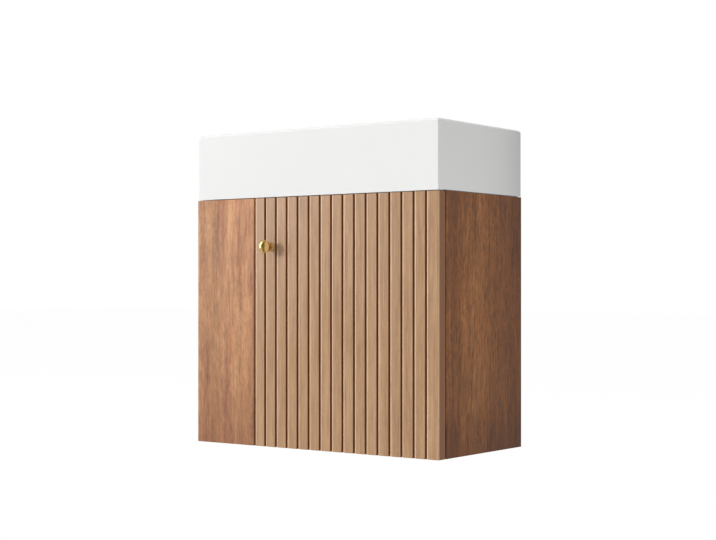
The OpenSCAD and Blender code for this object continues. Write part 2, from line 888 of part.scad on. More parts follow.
// Waste
module waste_body() {
    color(chrome_grey) translate([waste_x, waste_y, 0]) difference() {
        union() {
            translate([0, 0, tail_z]) cylinder(r = waste_r, h = flange_top - tail_z);
            translate([0, 0, flange_top - flange_plate_t]) cylinder(r = flange_r, h = flange_plate_t);
        }
        difference() {
            translate([0, 0, tail_z - over])
                cylinder(r = drain_r, h = flange_top - tail_z + 2 * over);
            translate([0, 0, bridge_z]) {
                cylinder(r = boss_bore_r + boss_wall, h = bridge_t);
                for (a = [0:120:240])
                    rotate(a) translate([0, -bridge_rib / 2, 0])
                        cube([drain_r + over, bridge_rib, bridge_t]);
            }
        }
        translate([0, 0, bridge_z - over]) cylinder(r = boss_bore_r, h = bridge_t + 2 * over);
        rod([-waste_r - over, 0, channel_z], "x", channel_r - 1, 2 * waste_r + 2 * over);
    }
}

module waste_flange_gasket() {
    color(rubber_black) difference() {
        rod([waste_x, waste_y, seat_z], "z", flange_r - washer_in, gasket_t);
        rod([waste_x, waste_y, seat_z - over], "z", waste_r + loose, gasket_t + 2 * over);
    }
}

module waste_under_washer() {
    color(rubber_black) difference() {
        rod([waste_x, waste_y, boss_z], "-z", back_nut_r - washer_in, washer_t);
        rod([waste_x, waste_y, boss_z + over], "-z", waste_r + loose, washer_t + 2 * over);
    }
}

module waste_back_nut() {
    color(brass) difference() {
        translate([waste_x, waste_y, boss_z - washer_t - back_nut_t])
            cylinder(r = back_nut_r, h = back_nut_t, $fn = 6);
        rod([waste_x, waste_y, boss_z - washer_t + over], "-z", waste_r + slip,
            back_nut_t + 2 * over);
    }
}

module plug_cartridge() {
    color(zinc) translate([waste_x, waste_y, 0]) difference() {
        union() {
            translate([0, 0, bridge_z]) cylinder(r = cartridge_r, h = cartridge_top - bridge_z);
            translate([0, 0, bridge_z + bridge_t])
                cylinder(r = cartridge_r + cartridge_collar[0], h = cartridge_collar[1]);
        }
        translate([0, 0, bridge_z + cartridge_floor])
            cylinder(r = stem_r + slip, h = cartridge_top - bridge_z);
    }
}

module plug_stem() {
    color(steel)
        rod([waste_x, waste_y, stem_foot], "z", stem_r,
            flange_top + dome_gap + stem_in - stem_foot);
}

module plug_dome() {
    color(chrome_grey) translate([waste_x, waste_y, flange_top + dome_gap]) difference() {
        rotate_extrude()
            polygon([
                [0, 0], [dome_r, 0], [dome_r, dome_edge],
                [dome_r - dome_round, dome_edge + dome_round],
                [dome_r / 2, dome_t - dome_rise], [0, dome_t]
            ]);
        translate([0, 0, -over]) cylinder(r = stem_r + slip, h = stem_in + over);
    }
}

// Bottle trap
module trap_union_nut() {
    color(trap_white) translate([waste_x, waste_y, 0]) difference() {
        translate([0, 0, tail_z + union_lap - union_h]) cylinder(r = union_r, h = union_h);
        translate([0, 0, tail_z - tube_flange_t * 2]) cylinder(r = waste_r + slip, h = union_h);
        translate([0, 0, tail_z - union_h]) cylinder(r = pipe_r + loose, h = union_h + over);
        for (a = [0:30:330])
            rotate(a) translate([union_r + flute_out, 0, tail_z + union_lap - union_h - over])
                cylinder(r = flute_r, h = union_h + 2 * over);
    }
}

module trap_union_washer() {
    color(rubber_black) difference() {
        rod([waste_x, waste_y, tail_z], "-z", waste_r - washer_in, tube_flange_t);
        rod([waste_x, waste_y, tail_z + over], "-z", pipe_r - pipe_wall, tube_flange_t + 2 * over);
    }
}

module trap_inlet_tube() {
    top = tail_z - tube_flange_t;
    color(trap_white) difference() {
        union() {
            rod([waste_x, waste_y, top], "-z", waste_r - washer_in, tube_flange_t);
            rod([waste_x, waste_y, top], "-z", pipe_r, top - tube_foot);
        }
        rod([waste_x, waste_y, top + over], "-z", pipe_r - pipe_wall, top - tube_foot + 2 * over);
    }
}

module trap_body() {
    color(trap_white) difference() {
        union() {
            rod([waste_x, waste_y, body_bottom], "z", bottle_r, body_top - body_bottom);
            rod([waste_x, waste_y, body_top - over], "z", collar_r, collar_h + over);
            rod([waste_x, waste_y + outlet_root, outlet_z], "y", pipe_r + body_wall,
                bottle_r + outlet_stub - outlet_root);
        }
        rod([waste_x, waste_y, body_bottom - over], "z", bottle_r - body_wall,
            body_top - body_bottom - body_wall + over);
        rod([waste_x, waste_y, body_top - body_wall - over], "z", pipe_r + loose,
            body_wall + collar_h + 2 * over);
        rod([waste_x, waste_y + pipe_r + 2, outlet_z], "y", pipe_r - pipe_wall,
            bottle_r + outlet_stub);
        rod([waste_x, spigot_y, outlet_z], "y", spigot_r + slip, outlet_stub);
    }
}

module trap_body_nut() {
    color(trap_white) translate([waste_x, waste_y, body_top + over]) difference() {
        cylinder(r = collar_r + nut_wall, h = collar_h + nut_wall - over);
        translate([0, 0, -over]) cylinder(r = collar_r + slip, h = collar_h);
        cylinder(r = pipe_r + loose, h = collar_h + nut_wall);
        for (a = [0:30:330])
            rotate(a) translate([collar_r + nut_wall + flute_out, 0, -over])
                cylinder(r = flute_r, h = collar_h + nut_wall + over);
    }
}

module trap_cup() {
    color(trap_white) difference() {
        union() {
            rod([waste_x, waste_y, cup_bottom], "z", bottle_r - cup_in, cup_deep_z);
            rod([waste_x, waste_y, skirt_top], "-z", bottle_r + body_wall, cup_skirt);
        }
        rod([waste_x, waste_y, cup_bottom + body_wall], "z", bottle_r - cup_in - body_wall,
            cup_deep_z + cup_skirt);
        rod([waste_x, waste_y, body_bottom - cup_seal_t], "z", bottle_r + slip, cup_skirt + 2);
    }
}

module trap_cup_seal() {
    color(rubber_black) difference() {
        rod([waste_x, waste_y, body_bottom - cup_seal_t], "z", bottle_r - loose, cup_seal_t);
        rod([waste_x, waste_y, body_bottom - cup_lap], "z", bottle_r - cup_in - body_wall,
            2 * cup_lap);
    }
}

module trap_outlet_nut() {
    color(trap_white) difference() {
        rod([waste_x, outlet_nut_y, outlet_z], "y", pipe_r + body_wall + nut_wall, outlet_nut_l);
        rod([waste_x, outlet_nut_y - over, outlet_z], "y", pipe_r + body_wall + slip,
            outlet_stub - 2 + loose);
        rod([waste_x, outlet_nut_y, outlet_z], "y", spigot_r + loose, outlet_nut_l + over);
    }
}

module trap_outlet_pipe() {
    color(trap_white) difference() {
        union() {
            rod([waste_x, spigot_y, outlet_z], "y", spigot_r, pipe_free_y - spigot_y + over);
            rod([waste_x, pipe_free_y, outlet_z], "y", pipe_r, -pipe_free_y);
        }
        rod([waste_x, spigot_y - over, outlet_z], "y", pipe_r - pipe_wall, 2 * over - spigot_y);
    }
}

left_side_panel();
right_side_panel();
bottom_panel();
front_rail();
hanging_rail();
lower_back_rail();
fixed_front_panel();
wood_dowels();
cam_locks();
cam_bolts();
hanger_plates();
hanger_plate_screws();
panel_brackets();
panel_bracket_screws();
upper_hinge_plate();
lower_hinge_plate();
hinge_plate_screws();
upper_hinge_arm();
lower_hinge_arm();
hinge_arm_screws();
upper_hinge_cup();
lower_hinge_cup();
hinge_pins();
hinge_springs();
hinge_cup_screws();
door_panel();
door_bumpers();
knob();
knob_ring();
knob_screw();
basin();
basin_seal();
overflow_ring();
waste_body();
waste_flange_gasket();
waste_under_washer();
waste_back_nut();
plug_cartridge();
plug_stem();
plug_dome();
trap_union_nut();
trap_union_washer();
trap_inlet_tube();
trap_body();
trap_body_nut();
trap_cup();
trap_cup_seal();
trap_outlet_nut();
trap_outlet_pipe();
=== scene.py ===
import json
import math

import bmesh
import bpy
from mathutils import Matrix, Vector


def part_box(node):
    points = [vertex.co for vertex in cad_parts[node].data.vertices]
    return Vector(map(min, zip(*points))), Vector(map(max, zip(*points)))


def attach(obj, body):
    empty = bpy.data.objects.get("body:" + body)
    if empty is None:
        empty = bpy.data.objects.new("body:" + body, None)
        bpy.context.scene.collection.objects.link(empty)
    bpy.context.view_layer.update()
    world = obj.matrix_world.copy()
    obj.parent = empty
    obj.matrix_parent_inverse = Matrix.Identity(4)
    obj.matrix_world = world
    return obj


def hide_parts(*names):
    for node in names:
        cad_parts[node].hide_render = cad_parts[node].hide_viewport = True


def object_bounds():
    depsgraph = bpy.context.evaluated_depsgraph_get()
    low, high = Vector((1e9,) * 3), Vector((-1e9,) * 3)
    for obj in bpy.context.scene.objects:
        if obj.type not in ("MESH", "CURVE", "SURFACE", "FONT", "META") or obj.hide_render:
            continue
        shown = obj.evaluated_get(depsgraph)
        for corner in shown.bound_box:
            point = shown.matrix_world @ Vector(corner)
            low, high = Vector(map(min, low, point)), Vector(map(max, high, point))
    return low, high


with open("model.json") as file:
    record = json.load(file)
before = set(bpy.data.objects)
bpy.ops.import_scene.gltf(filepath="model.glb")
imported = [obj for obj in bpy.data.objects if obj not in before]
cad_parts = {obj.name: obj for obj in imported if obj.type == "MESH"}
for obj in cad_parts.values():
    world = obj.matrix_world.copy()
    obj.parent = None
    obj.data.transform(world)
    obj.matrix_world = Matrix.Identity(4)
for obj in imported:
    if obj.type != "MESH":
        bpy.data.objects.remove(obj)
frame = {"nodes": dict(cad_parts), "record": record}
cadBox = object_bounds()
print("frame loaded with", len(frame["nodes"]), "nodes")

mm = 0.001
nearly = 0.01 * mm  # closer than this is the same place
weld = 0.002 * mm
slotOf = {part["node"]: part["material_slot"] for part in frame["record"]["subparts"]}
bodies = frame["record"]["behaviour"]["bodies"]
bodyOf = {node: body for body, members in bodies.items() for node in members}
sideLow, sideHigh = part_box("right_side_panel")
cabinetFoot = sideLow.z
cabinetTall = sideHigh.z - sideLow.z

# Camera, matched to the photograph's 716 x 540 frame
cameraView = {
    "spot": (1.3812, -1.9914, -0.09065),
    "turn": 36.288,
    "lens": 76.14,
    "sensor": 36,
    "lift": 0.0238,
}


def placeCamera():
    data = bpy.data.cameras.new("camera")
    data.lens = cameraView["lens"]
    data.sensor_width = cameraView["sensor"]
    data.shift_y = cameraView["lift"]
    camera = bpy.data.objects.new("camera", data)
    camera.location = cameraView["spot"]
    camera.rotation_euler = (math.radians(90), 0, math.radians(cameraView["turn"]))
    bpy.context.scene.collection.objects.link(camera)
    bpy.context.scene.camera = camera


placeCamera()


# Shader maths

class Wire:
    # A socket that can be added, multiplied and so on
    def __init__(self, recipe, socket):
        self.recipe = recipe
        self.socket = socket

    def join(self, operation, first, second):
        pair = (first, second)
        plain = [
            isinstance(p, (int, float)) or isinstance(p, Wire) and p.socket.type == "VALUE" for p in pair
        ]
        if not all(plain):
            pair = [(p, p, p) if isinstance(p, (int, float)) else p for p in pair]
            kind = "ShaderNodeVectorMath"
        else:
            kind = "ShaderNodeMath"
        return self.recipe.node(kind, {"operation": operation}, {0: pair[0], 1: pair[1]})

    def __add__(self, other):
        return self.join("ADD", self, other)

    def __sub__(self, other):
        return self.join("SUBTRACT", self, other)

    def __rsub__(self, other):
        return self.join("SUBTRACT", other, self)

    def __mul__(self, other):
        return self.join("MULTIPLY", self, other)

    def __neg__(self):
        return self.join("MULTIPLY", self, -1)

    def __truediv__(self, other):
        return self.join("DIVIDE", self, other)

    def __rtruediv__(self, other):
        return self.join("DIVIDE", other, self)

    __radd__ = __add__
    __rmul__ = __mul__

    def floor(self):
        return self.recipe.node("ShaderNodeMath", {"operation": "FLOOR"}, {0: self})

    def step(self, low, high):
        # 0 below low, 1 above high, smooth between them
        return self.recipe.node(
            "ShaderNodeMapRange",
            {"interpolation_type": "SMOOTHSTEP"},
            {"Value": self, "From Min": low, "From Max": high},
        )


class Recipe:
    # A material and the nodes that it is made of
    def __init__(self, name, tree=None):
        if tree is None:
            self.material = bpy.data.materials.new(name)
            self.material.use_nodes = True
            tree = self.material.node_tree
        self.tree = tree
        self.tree.nodes.clear()
        self.place = self.node("ShaderNodeTexCoord", {}, {}, "Object")

    def node(self, kind, settings, inputs, out=0):
        made = self.tree.nodes.new(kind)
        for key, value in settings.items():
            if key == "stops":
                ramp = made.color_ramp.elements
                while len(ramp) < len(value):
                    ramp.new(1)
                for element, (position, color) in zip(ramp, value):
                    element.position = position
                    element.color = color
            else:
                setattr(made, key, value)
        for key, value in inputs.items():
            if isinstance(value, Wire):
                self.tree.links.new(value.socket, made.inputs[key])
            else:
                made.inputs[key].default_value = value
        return None if out is None else Wire(self, made.outputs[out])

    def axis(self, index):
        # The object's X, Y or Z
        return self.node("ShaderNodeSeparateXYZ", {}, {"Vector": self.place}, index)

    def rays(self, kind):
        return self.node("ShaderNodeLightPath", {}, {}, kind)

    def noise(self, place, scale, detail=2, rough=0.5):
        inputs = {"Vector": place, "Scale": scale, "Detail": detail, "Roughness": rough}
        return self.node("ShaderNodeTexNoise", {}, inputs)

    def drawn(self, place, share, scale, detail, rough):
        # Noise drawn out along Z
        return self.noise(place * (1, 1, share), scale, detail, rough)

    def ramp(self, value, *stops):
        return self.node("ShaderNodeValToRGB", {"stops": stops}, {"Fac": value})

    def tones(self, value, stops):
        # A ramp of tones or tints near 1, kept at half strength inside the ramp
        tints = [(at, tone if isinstance(tone, tuple) else (tone, tone, tone)) for at, tone in stops]
        halves = [(at, (red / 2, green / 2, blue / 2, 1)) for at, (red, green, blue) in tints]
        return self.ramp(value, *halves) * (2, 2, 2)

    def mix(self, share, low, high, way="MIX"):
        settings = {"data_type": "RGBA", "blend_type": way}
        return self.node("ShaderNodeMix", settings, {0: share, 6: low, 7: high}, 2)

    def shaded(self, color, value):
        # Darkens or lightens a colour by a value near 1
        grey = self.node("ShaderNodeCombineColor", {}, {0: value, 1: value, 2: value})
        return self.mix(1, color, grey, "MULTIPLY")

    def finish(self, color, rough, relief=None, depth=0, **fixed):
        inputs = {"Base Color": color, "Roughness": rough}
        for name, value in fixed.items():
            inputs[name.replace("_", " ")] = value
        if relief is not None:
            inputs["Normal"] = self.node("ShaderNodeBump", {}, {"Distance": depth, "Height": relief})
        shader = self.node("ShaderNodeBsdfPrincipled", {}, inputs)
        self.node("ShaderNodeOutputMaterial", {}, {"Surface": shader}, None)
        return self.material


def tint(red, green, blue):
    # An sRGB colour in 0 to 255, as the linear values that shaders take
    parts = [c / 255 for c in (red, green, blue)]
    return (*(c / 12.92 if c < 0.04045 else ((c + 0.055) / 1.055) ** 2.4 for c in parts), 1)


# Materials

# Figure of the red decor. A noise has its share of Z, which draws it out along the grain where it
# is small, then its scale, detail and roughness.
decorFigure = {
    "bend": (0.25, 9, 2, 0.5),
    "bands": (0.12, 42, 3, 0.55),
    "mottle": (0.22, 85, 6, 0.85),
    "warm": (0.15, 55, 3, 0.6),
    "streaks": (0.03, 380, 4, 0.7),
    "curl": (0.3, 230, 4, 0.85),
    "flecks": (0.09, 620, 1, 0.4),
    "wander": (0.02, 0.02, 0),  # how far the bend moves the bands, in m
    "curlWander": (0.01, 0.01, 1 / 3),
    "zoneWander": 12,  # in mm
    "fallWander": 0.05,
    "bandShare": 0.42,
    "tones": {"dark": 0.34, "mauve": 0.45, "mid": 0.52, "light": 0.64},
    "warmSpot": (0.3, 0.1, 0),
    "warmFrom": 0.5,
    "warmTo": 0.66,
    "streakDepth": 0.6,
    "curlDepth": 0.8,
    "leanTurn": 0.6,
    "fleckFrom": 0.69,
    "fleckTo": 0.76,
    "fleckShare": 0.4,
    "roughSpread": 0.2,
    "relief": 0.05 * mm,
}
cherryFrontLook = {
    "dark": (140, 92, 66),
    "mauve": (162, 117, 89),
    "mid": (174, 128, 93),
    "light": (187, 142, 105),
    "orange": (190, 130, 88),
    "across": (0, -225, -111),  # axis and its range in mm
    "zones": (
        (0, 1.2), (0.05, 1.12), (0.2, 1.06), (0.26, 0.97), (0.33, 0.97), (0.4, 1.12), (0.52, 1.24),
        (0.6, 1.2), (0.68, 1.24), (0.76, 1.14), (0.85, 1.18), (1, 1.15),
    ),
    # up the board: darker towards the foot, partly the decor's own tone and partly painted shade
    "fall": (
        (0, (0.69, 0.6, 0.55)), (0.08, (0.72, 0.63, 0.58)), (0.32, (0.9, 0.86, 0.8)),
        (0.56, (0.98, 0.97, 0.94)), (0.8, (0.97, 0.98, 1)), (0.95, 1.05),
    ),
    # painted highlight: the left edge paler, as a rounded edge lit from the left
    "edges": ((0, (1.08, 1.26, 1.3)), (0.02, (1.08, 1.2, 1.22)), (0.035, 1)),
    "rough": 0.5,
    "gloss": 0.35,
    "grain": 1.55,
    "warm": 0.24,
    "lean": 0.32,  # how much the far edge darkens below leanTurn and lightens above it, partly the decor's own tone and partly painted shade and light
}
# The front's decor in darker, more saturated colours: painted shade for both side boards, standing in
# for the shade on the right side
paintedShadeSideLook = {
    "dark": (104, 62, 33),
    "mauve": (122, 75, 42),
    "mid": (132, 83, 47),
    "light": (143, 92, 54),
    "orange": (135, 83, 45),
    "across": (1, -208, 0),
    # across the side, front to back: the decor's figure, and darker towards the back as painted shade
    "zones": (
        (0, 0.98), (0.06, 0.89), (0.12, (0.89, 0.87, 0.8)), (0.22, (1.15, 1.2, 1.18)),
        (0.35, (1.27, 1.36, 1.34)), (0.5, (1.2, 1.23, 1.22)), (0.58, (0.95, 0.95, 0.87)),
        (0.7, (0.84, 0.82, 0.77)), (0.78, (0.91, 0.89, 0.82)), (0.88, (0.75, 0.69, 0.58)),
        (1, (0.71, 0.68, 0.53)),
    ),
    # up the board: darker towards the foot, partly the decor's own tone and partly painted shade
    "fall": (
        (0, (0.66, 0.62, 0.6)), (0.1, (0.74, 0.7, 0.68)), (0.2, 0.93), (0.5, 1.05),
        (0.8, 1), (1, 0.93),
    ),
    # painted shadow: a dark line along the back edge
    "edges": ((0.98, 1), (0.99, 0.74), (1, 0.7)),
    "rough": 0.5,
    "gloss": 0.2,
    "grain": 3.3,
    "warm": 0.15,
    "lean": 0.1,
}
cherryInnerLook = {
    "dark": (132, 84, 60),
    "mauve": (154, 106, 80),
    "mid": (166, 117, 83),
    "light": (180, 131, 95),
    "orange": (182, 120, 76),
    "across": (1, -208, 0),
    "zones": ((0, 1), (0.3, 0.94), (0.6, 1.04), (1, 1)),
    "fall": ((0, 1), (1, 1)),
    "edges": ((0, 1), (1, 1)),
    "rough": 0.5,
    "gloss": 0.35,
    "grain": 1,
    "warm": 0.3,
    "lean": 0,
}


def woodDecor(name, look, lying=False):
    # Straight grain with soft figure, along Z, or along X in a lying board
    f = decorFigure
    r = Recipe(name)
    place = r.place
    if lying:
        place = r.node("ShaderNodeMapping", {}, {"Vector": place, "Rotation": (0, math.radians(90), 0)})
    bend = r.drawn(place, *f["bend"]) - 0.5
    flow = place + bend * f["wander"]
    bands = r.drawn(flow, *f["bands"])
    mottle = r.drawn(flow, *f["mottle"])
    color = r.ramp(
        bands * f["bandShare"] + mottle * (1 - f["bandShare"]),
        *[(at, tint(*look[tone])) for tone, at in f["tones"].items()],
    )
    warm = r.drawn(flow + f["warmSpot"], *f["warm"]).step(f["warmFrom"], f["warmTo"])
    color = r.mix(warm * look["warm"], color, tint(*look["orange"]))
    # Broad tones across the board, at its edges and up it. Across: the decor's figure, and on the sides
    # also painted shade towards the back. At the edges: a painted highlight on the front's left edge and
    # a painted shadow on the sides' back edge. Up: darker towards the foot on the front and side boards,
    # partly the decor's own tone and partly painted shade.
    axis, start, end = look["across"]
    along = (r.axis(axis) - start * mm) / ((end - start) * mm)
    zoned = along + bend * f["zoneWander"] / (end - start)
    up = (r.axis(2) + bend * f["fallWander"] - cabinetFoot) / cabinetTall
    for value, stops in ((zoned, "zones"), (along, "edges"), (up, "fall")):
        color = r.mix(1, color, r.tones(value, look[stops]), "MULTIPLY")
    streaks = r.drawn(place, *f["streaks"])
    curl = r.drawn(place + bend * f["curlWander"], *f["curl"])
    grain = (streaks - 0.5) * f["streakDepth"] + (curl - 0.5) * f["curlDepth"]
    # the far edge darker low and lighter high: partly the decor's own tone, partly painted shade and
    # light
    lean = along * along * (up - f["leanTurn"]) * look["lean"]
    color = r.shaded(color, 1 + grain * look["grain"] + lean)
    flecks = r.drawn(place, *f["flecks"]).step(f["fleckFrom"], f["fleckTo"])
    color = r.mix(flecks * f["fleckShare"], color, tint(*look["dark"]))
    rough = look["rough"] + (curl - 0.5) * f["roughSpread"]
    return r.finish(color, rough, streaks * 0.5 + curl, f["relief"], Specular_IOR_Level=look["gloss"])


doorLow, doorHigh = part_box("door_panel")
stripCount = 16
stripPitch = (doorHigh.x - doorLow.x) / stripCount
doorShape = {
    "gap": 2 * mm,
    "deep": 3.1 * mm,
    "stretch": 1.5,  # the lips are rounded this much further across than in
    "shift": -1.2 * mm,
    "roundLeft": 4.5 * mm,
    "roundRight": 1.1 * mm,
    "roundSteps": 6,
    "edge": 0.6 * mm,
    "edgeSteps": 2,
    "sharp": 60,  # edges that turn by more degrees than this are eased
    "cupIn": 20.5 * mm,
    "cupRadius": 17.5 * mm,
    "cupDeep": 11.5 * mm,
    "cupMouth": 0.3 * mm,
}
oakLook = {
    "dark": (154, 115, 82),
    "mid": (172, 134, 99),
    "light": (186, 149, 113),
    # colour of the painted light towards the upper left
    "paintedLightTint": (212, 184, 166),
    # colour of the painted highlight on the lips that catch the light
    "paintedHighlight": (226, 192, 158),
    # dark brown of the cut faces and the door's edges: partly their own colour, partly painted shade in
    # the grooves and on the edges
    "cut": (130, 80, 42),
    "flank": (130, 87, 54),
    "tones": {"dark": 0.36, "mid": 0.5, "light": 0.64},
    "bands": (0.05, 85, 3, 0.55),
    "streaks": (0.018, 520, 3, 0.6),
    "fibres": (0.02, 1900, 2, 0.5),
    "cloud": (0.2, 120, 5, 0.75),
    "pores": (0.035, 1100, 1, 0.4),
    "bandShare": 0.35,
    "streakShare": 0.35,
    "cloudShare": 0.3,
    "fibreDepth": 0.3,
    "streakDepth": 0.3,
    "cloudDepth": 0.2,
    "stripDepth": 0.06,  # how much one strip's tone differs from the next
    "poreFrom": 0.68,
    "poreTo": 0.76,
    "poreShare": 0.3,
    "paintedLightFrom": 0.12,  # height over the cabinet's foot
    "paintedLightTo": 0.4,
    "paintedLightShare": 0.28,
    "paintedHighlightTo": 0.5 * mm,
    "paintedHighlightShare": 0.62,
    "cutFrom": 0.05 * mm,  # depth behind the strips' faces
    "cutTo": 0.6 * mm,
    "cutSunny": 1.4 * mm,  # this much deeper on the side that catches the light
    "stainAndShadeLow": 0.7,
    "stainAndShadeSpread": 0.6,
    "backFrom": 0.7 * mm,  # the dark brown of the cut faces ends this far before the door's back
    "backTo": 0.2 * mm,
    "flankFrom": 0.8 * mm,
    "flankTo": 0.3 * mm,
    "rough": 0.42,
    "roughSpread": 0.2,
    "relief": 0.05 * mm,
}


def flutedOak(name):
    # Fine straight grain, set off anew on each strip, a painted highlight on the lips that catch the
    # light, and dark brown on the cut faces and edges, partly their own colour and partly painted shade
    s = oakLook
    r = Recipe(name)
    across = r.axis(0) - doorLow.x
    deep = r.axis(1) - doorLow.y
    wide = doorHigh.x - doorLow.x
    thick = doorHigh.y - doorLow.y
    strip = (across / stripPitch).floor()
    groove = (across - doorShape["shift"]) / stripPitch
    sunny = 1 - (groove - groove.floor()).step(0.49, 0.51)
    inner = 1 - deep.step(thick - s["backFrom"], thick - s["backTo"])
    # where the dark brown sets in; it starts deeper on the side that catches the light, to keep the
    # painted highlight there
    cut = (deep - sunny * s["cutSunny"]).step(s["cutFrom"], s["cutTo"]) * inner
    # painted highlight on the rounded edge of each lip, on the side that catches the light
    paintedHighlight = deep.step(s["cutFrom"], s["paintedHighlightTo"]) * (1 - cut) * inner * sunny
    # Each strip reads its own stretch of the noises
    chance = r.node("ShaderNodeTexWhiteNoise", {"noise_dimensions": "1D"}, {"W": strip}, "Value")
    shift = r.node("ShaderNodeCombineXYZ", {}, {"X": strip * 0.37, "Y": chance, "Z": chance * 0.8})
    place = r.place + shift
    bands = r.drawn(place, *s["bands"])
    streaks = r.drawn(place, *s["streaks"])
    fibres = r.drawn(place, *s["fibres"])
    cloud = r.drawn(place, *s["cloud"])
    color = r.ramp(
        bands * s["bandShare"] + streaks * s["streakShare"] + cloud * s["cloudShare"],
        *[(at, tint(*s[tone])) for tone, at in s["tones"].items()],
    )
    fine = (fibres - 0.5) * s["fibreDepth"] + (streaks - 0.5) * s["streakDepth"]
    broad = (cloud - 0.5) * s["cloudDepth"] + (chance - 0.5) * s["stripDepth"]
    color = r.shaded(color, 1 + fine + broad)
    pores = r.drawn(place, *s["pores"]).step(s["poreFrom"], s["poreTo"])
    color = r.mix(pores * s["poreShare"], color, tint(*s["dark"]))
    # Painted light: paler to the left and upwards
    paintedLit = (r.axis(2) - cabinetFoot).step(s["paintedLightFrom"], s["paintedLightTo"]) * (1 - strip / stripCount)
    color = r.mix(paintedLit * s["paintedLightShare"], color, tint(*s["paintedLightTint"]))
    color = r.mix(paintedHighlight * s["paintedHighlightShare"], color, tint(*s["paintedHighlight"]))
    # Dark brown on the cut faces, partly painted shade; a little lighter on the door's right side face
    flank = across.step(wide - s["flankFrom"], wide - s["flankTo"])
    stainAndShade = r.mix(flank, tint(*s["cut"]), tint(*s["flank"]))
    color = r.mix(cut, color, r.shaded(stainAndShade, s["stainAndShadeLow"] + streaks * s["stainAndShadeSpread"]))
    relief = streaks * 0.4 + fibres - pores * 0.8
    return r.finish(color, s["rough"] + (fibres - 0.5 + cut) * s["roughSpread"], relief, s["relief"])


glazeLook = {
    "low": (233, 233, 232),
    "high": (235, 235, 234),
    "cloud": 6,
    "wave": 26,
    "flankFrom": 223.2 * mm,  # distance from the middle at which the painted shade on the sides sets in
    "flankTo": 224.6 * mm,
    "fallFrom": 0.12,  # in front of the wall
    # painted shade: the sides darken towards the wall
    "fall": ((0, 0.78), (0.21, 0.86), (0.42, 0.93), (0.6, 0.965), (1, 1)),
    "rough": 0.16,
    "roughSpread": 0.04,
    "relief": 0.02 * mm,
    "gloss": 0.3,
}


def glazedWhite(name):
    s = glazeLook
    r = Recipe(name)
    wave = r.noise(r.place, s["wave"])
    cloud = r.noise(r.place, s["cloud"])
    color = r.mix(cloud, tint(*s["low"]), tint(*s["high"]))
    x = r.axis(0)
    flank = (x * x).step(s["flankFrom"] ** 2, s["flankTo"] ** 2)
    # Painted shade on the basin's sides, darker towards the wall
    tone = r.tones(-r.axis(1) / s["fallFrom"], s["fall"])
    color = r.mix(flank, color, r.mix(1, color, tone, "MULTIPLY"))
    rough = s["rough"] + (wave - 0.5) * s["roughSpread"]
    return r.finish(color, rough, wave, s["relief"], Specular_IOR_Level=s["gloss"])


polishLook = {
    "cloud": 50,
    "hair": 300,
    "hairAlong": (1, 1, 8),
    "wear": 0.04,
}


def polishedMetal(name, color, rough, coat=0):
    # A plated or polished metal: faint clouding and hairlines in its gloss
    s = polishLook
    r = Recipe(name)
    cloud = r.noise(r.place, s["cloud"], 3)
    hair = r.noise(r.place * s["hairAlong"], s["hair"])
    dark = tuple(c * (1 - 2 * s["wear"]) for c in color)
    shade = r.mix(cloud, tint(*color), tint(*dark))
    rough = rough + (hair - 0.5 + cloud - 0.5) * s["wear"]
    return r.finish(shade, rough, Metallic=1.0, Coat_Weight=coat)


brushLook = {
    "lines": 1500,
    "cloud": 60,
    "cloudShare": 0.6,
    "dim": 0.86,
    "roughSpread": 0.18,
    "relief": 0.01 * mm,
}


def brushedMetal(name, color, rough, along=(1, 1, 0.04)):
    # Rolled or pressed metal with faint lines
    s = brushLook
    r = Recipe(name)
    lines = r.noise(r.place * along, s["lines"], 3, 0.6)
    cloud = r.noise(r.place, s["cloud"], 3, 0.55)
    dark = tuple(c * s["dim"] for c in color)
    shade = r.mix(cloud * s["cloudShare"] + lines * (1 - s["cloudShare"]), tint(*dark), tint(*color))
    return r.finish(shade, rough + (lines - 0.5) * s["roughSpread"], lines, s["relief"], Metallic=1.0)


plasticLook = {
    "grit": 1400,
    "cloud": 30,
    "dim": 0.965,
    "roughSpread": 0.08,
    "relief": 0.02 * mm,
}


def mouldedPlastic(name, color, rough):
    s = plasticLook
    r = Recipe(name)
    grit = r.noise(r.place, s["grit"])
    cloud = r.noise(r.place, s["cloud"])
    dark = tuple(c * s["dim"] for c in color)
    shade = r.mix(cloud, tint(*dark), tint(*color))
    return r.finish(shade, rough + (cloud - 0.5) * s["roughSpread"], grit, s["relief"])


rubberLook = {
    "grit": 900,
    "dust": 90,
    "dustFrom": 0.55,
    "dustTo": 0.8,
    "dustShare": 0.5,
    "dustLift": 26,
    "roughSpread": 0.1,
    "relief": 0.04 * mm,
}


def rubber(name, color, rough):
    s = rubberLook
    r = Recipe(name)
    grit = r.noise(r.place, s["grit"], 3, 0.6)
    dust = r.noise(r.place, s["dust"], 3, 0.6).step(s["dustFrom"], s["dustTo"])
    pale = tuple(c + s["dustLift"] for c in color)
    shade = r.mix(dust * s["dustShare"], tint(*color), tint(*pale))
    return r.finish(shade, rough + (dust - 0.5) * s["roughSpread"], grit, s["relief"])


siliconeLook = {
    "low": (196, 199, 198),
    "high": (214, 216, 215),
    "cloud": 160,
    "rough": 0.3,
    "roughSpread": 0.1,
    "relief": 0.03 * mm,
}


def clearSilicone(name):
    s = siliconeLook
    r = Recipe(name)
    cloud = r.noise(r.place, s["cloud"])
    shade = r.mix(cloud, tint(*s["low"]), tint(*s["high"]))
    return r.finish(shade, s["rough"] + (cloud - 0.5) * s["roughSpread"], cloud, s["relief"])


beechLook = {
    "low": (205, 172, 125),
    "high": (226, 198, 152),
    "fleck": (176, 132, 88),
    "lines": 700,
    "flecks": 1100,
    "fleckFrom": 0.62,
    "fleckTo": 0.72,
    "fleckShare": 0.5,
    "rough": 0.6,
    "roughSpread": 0.1,
    "relief": 0.05 * mm,
}


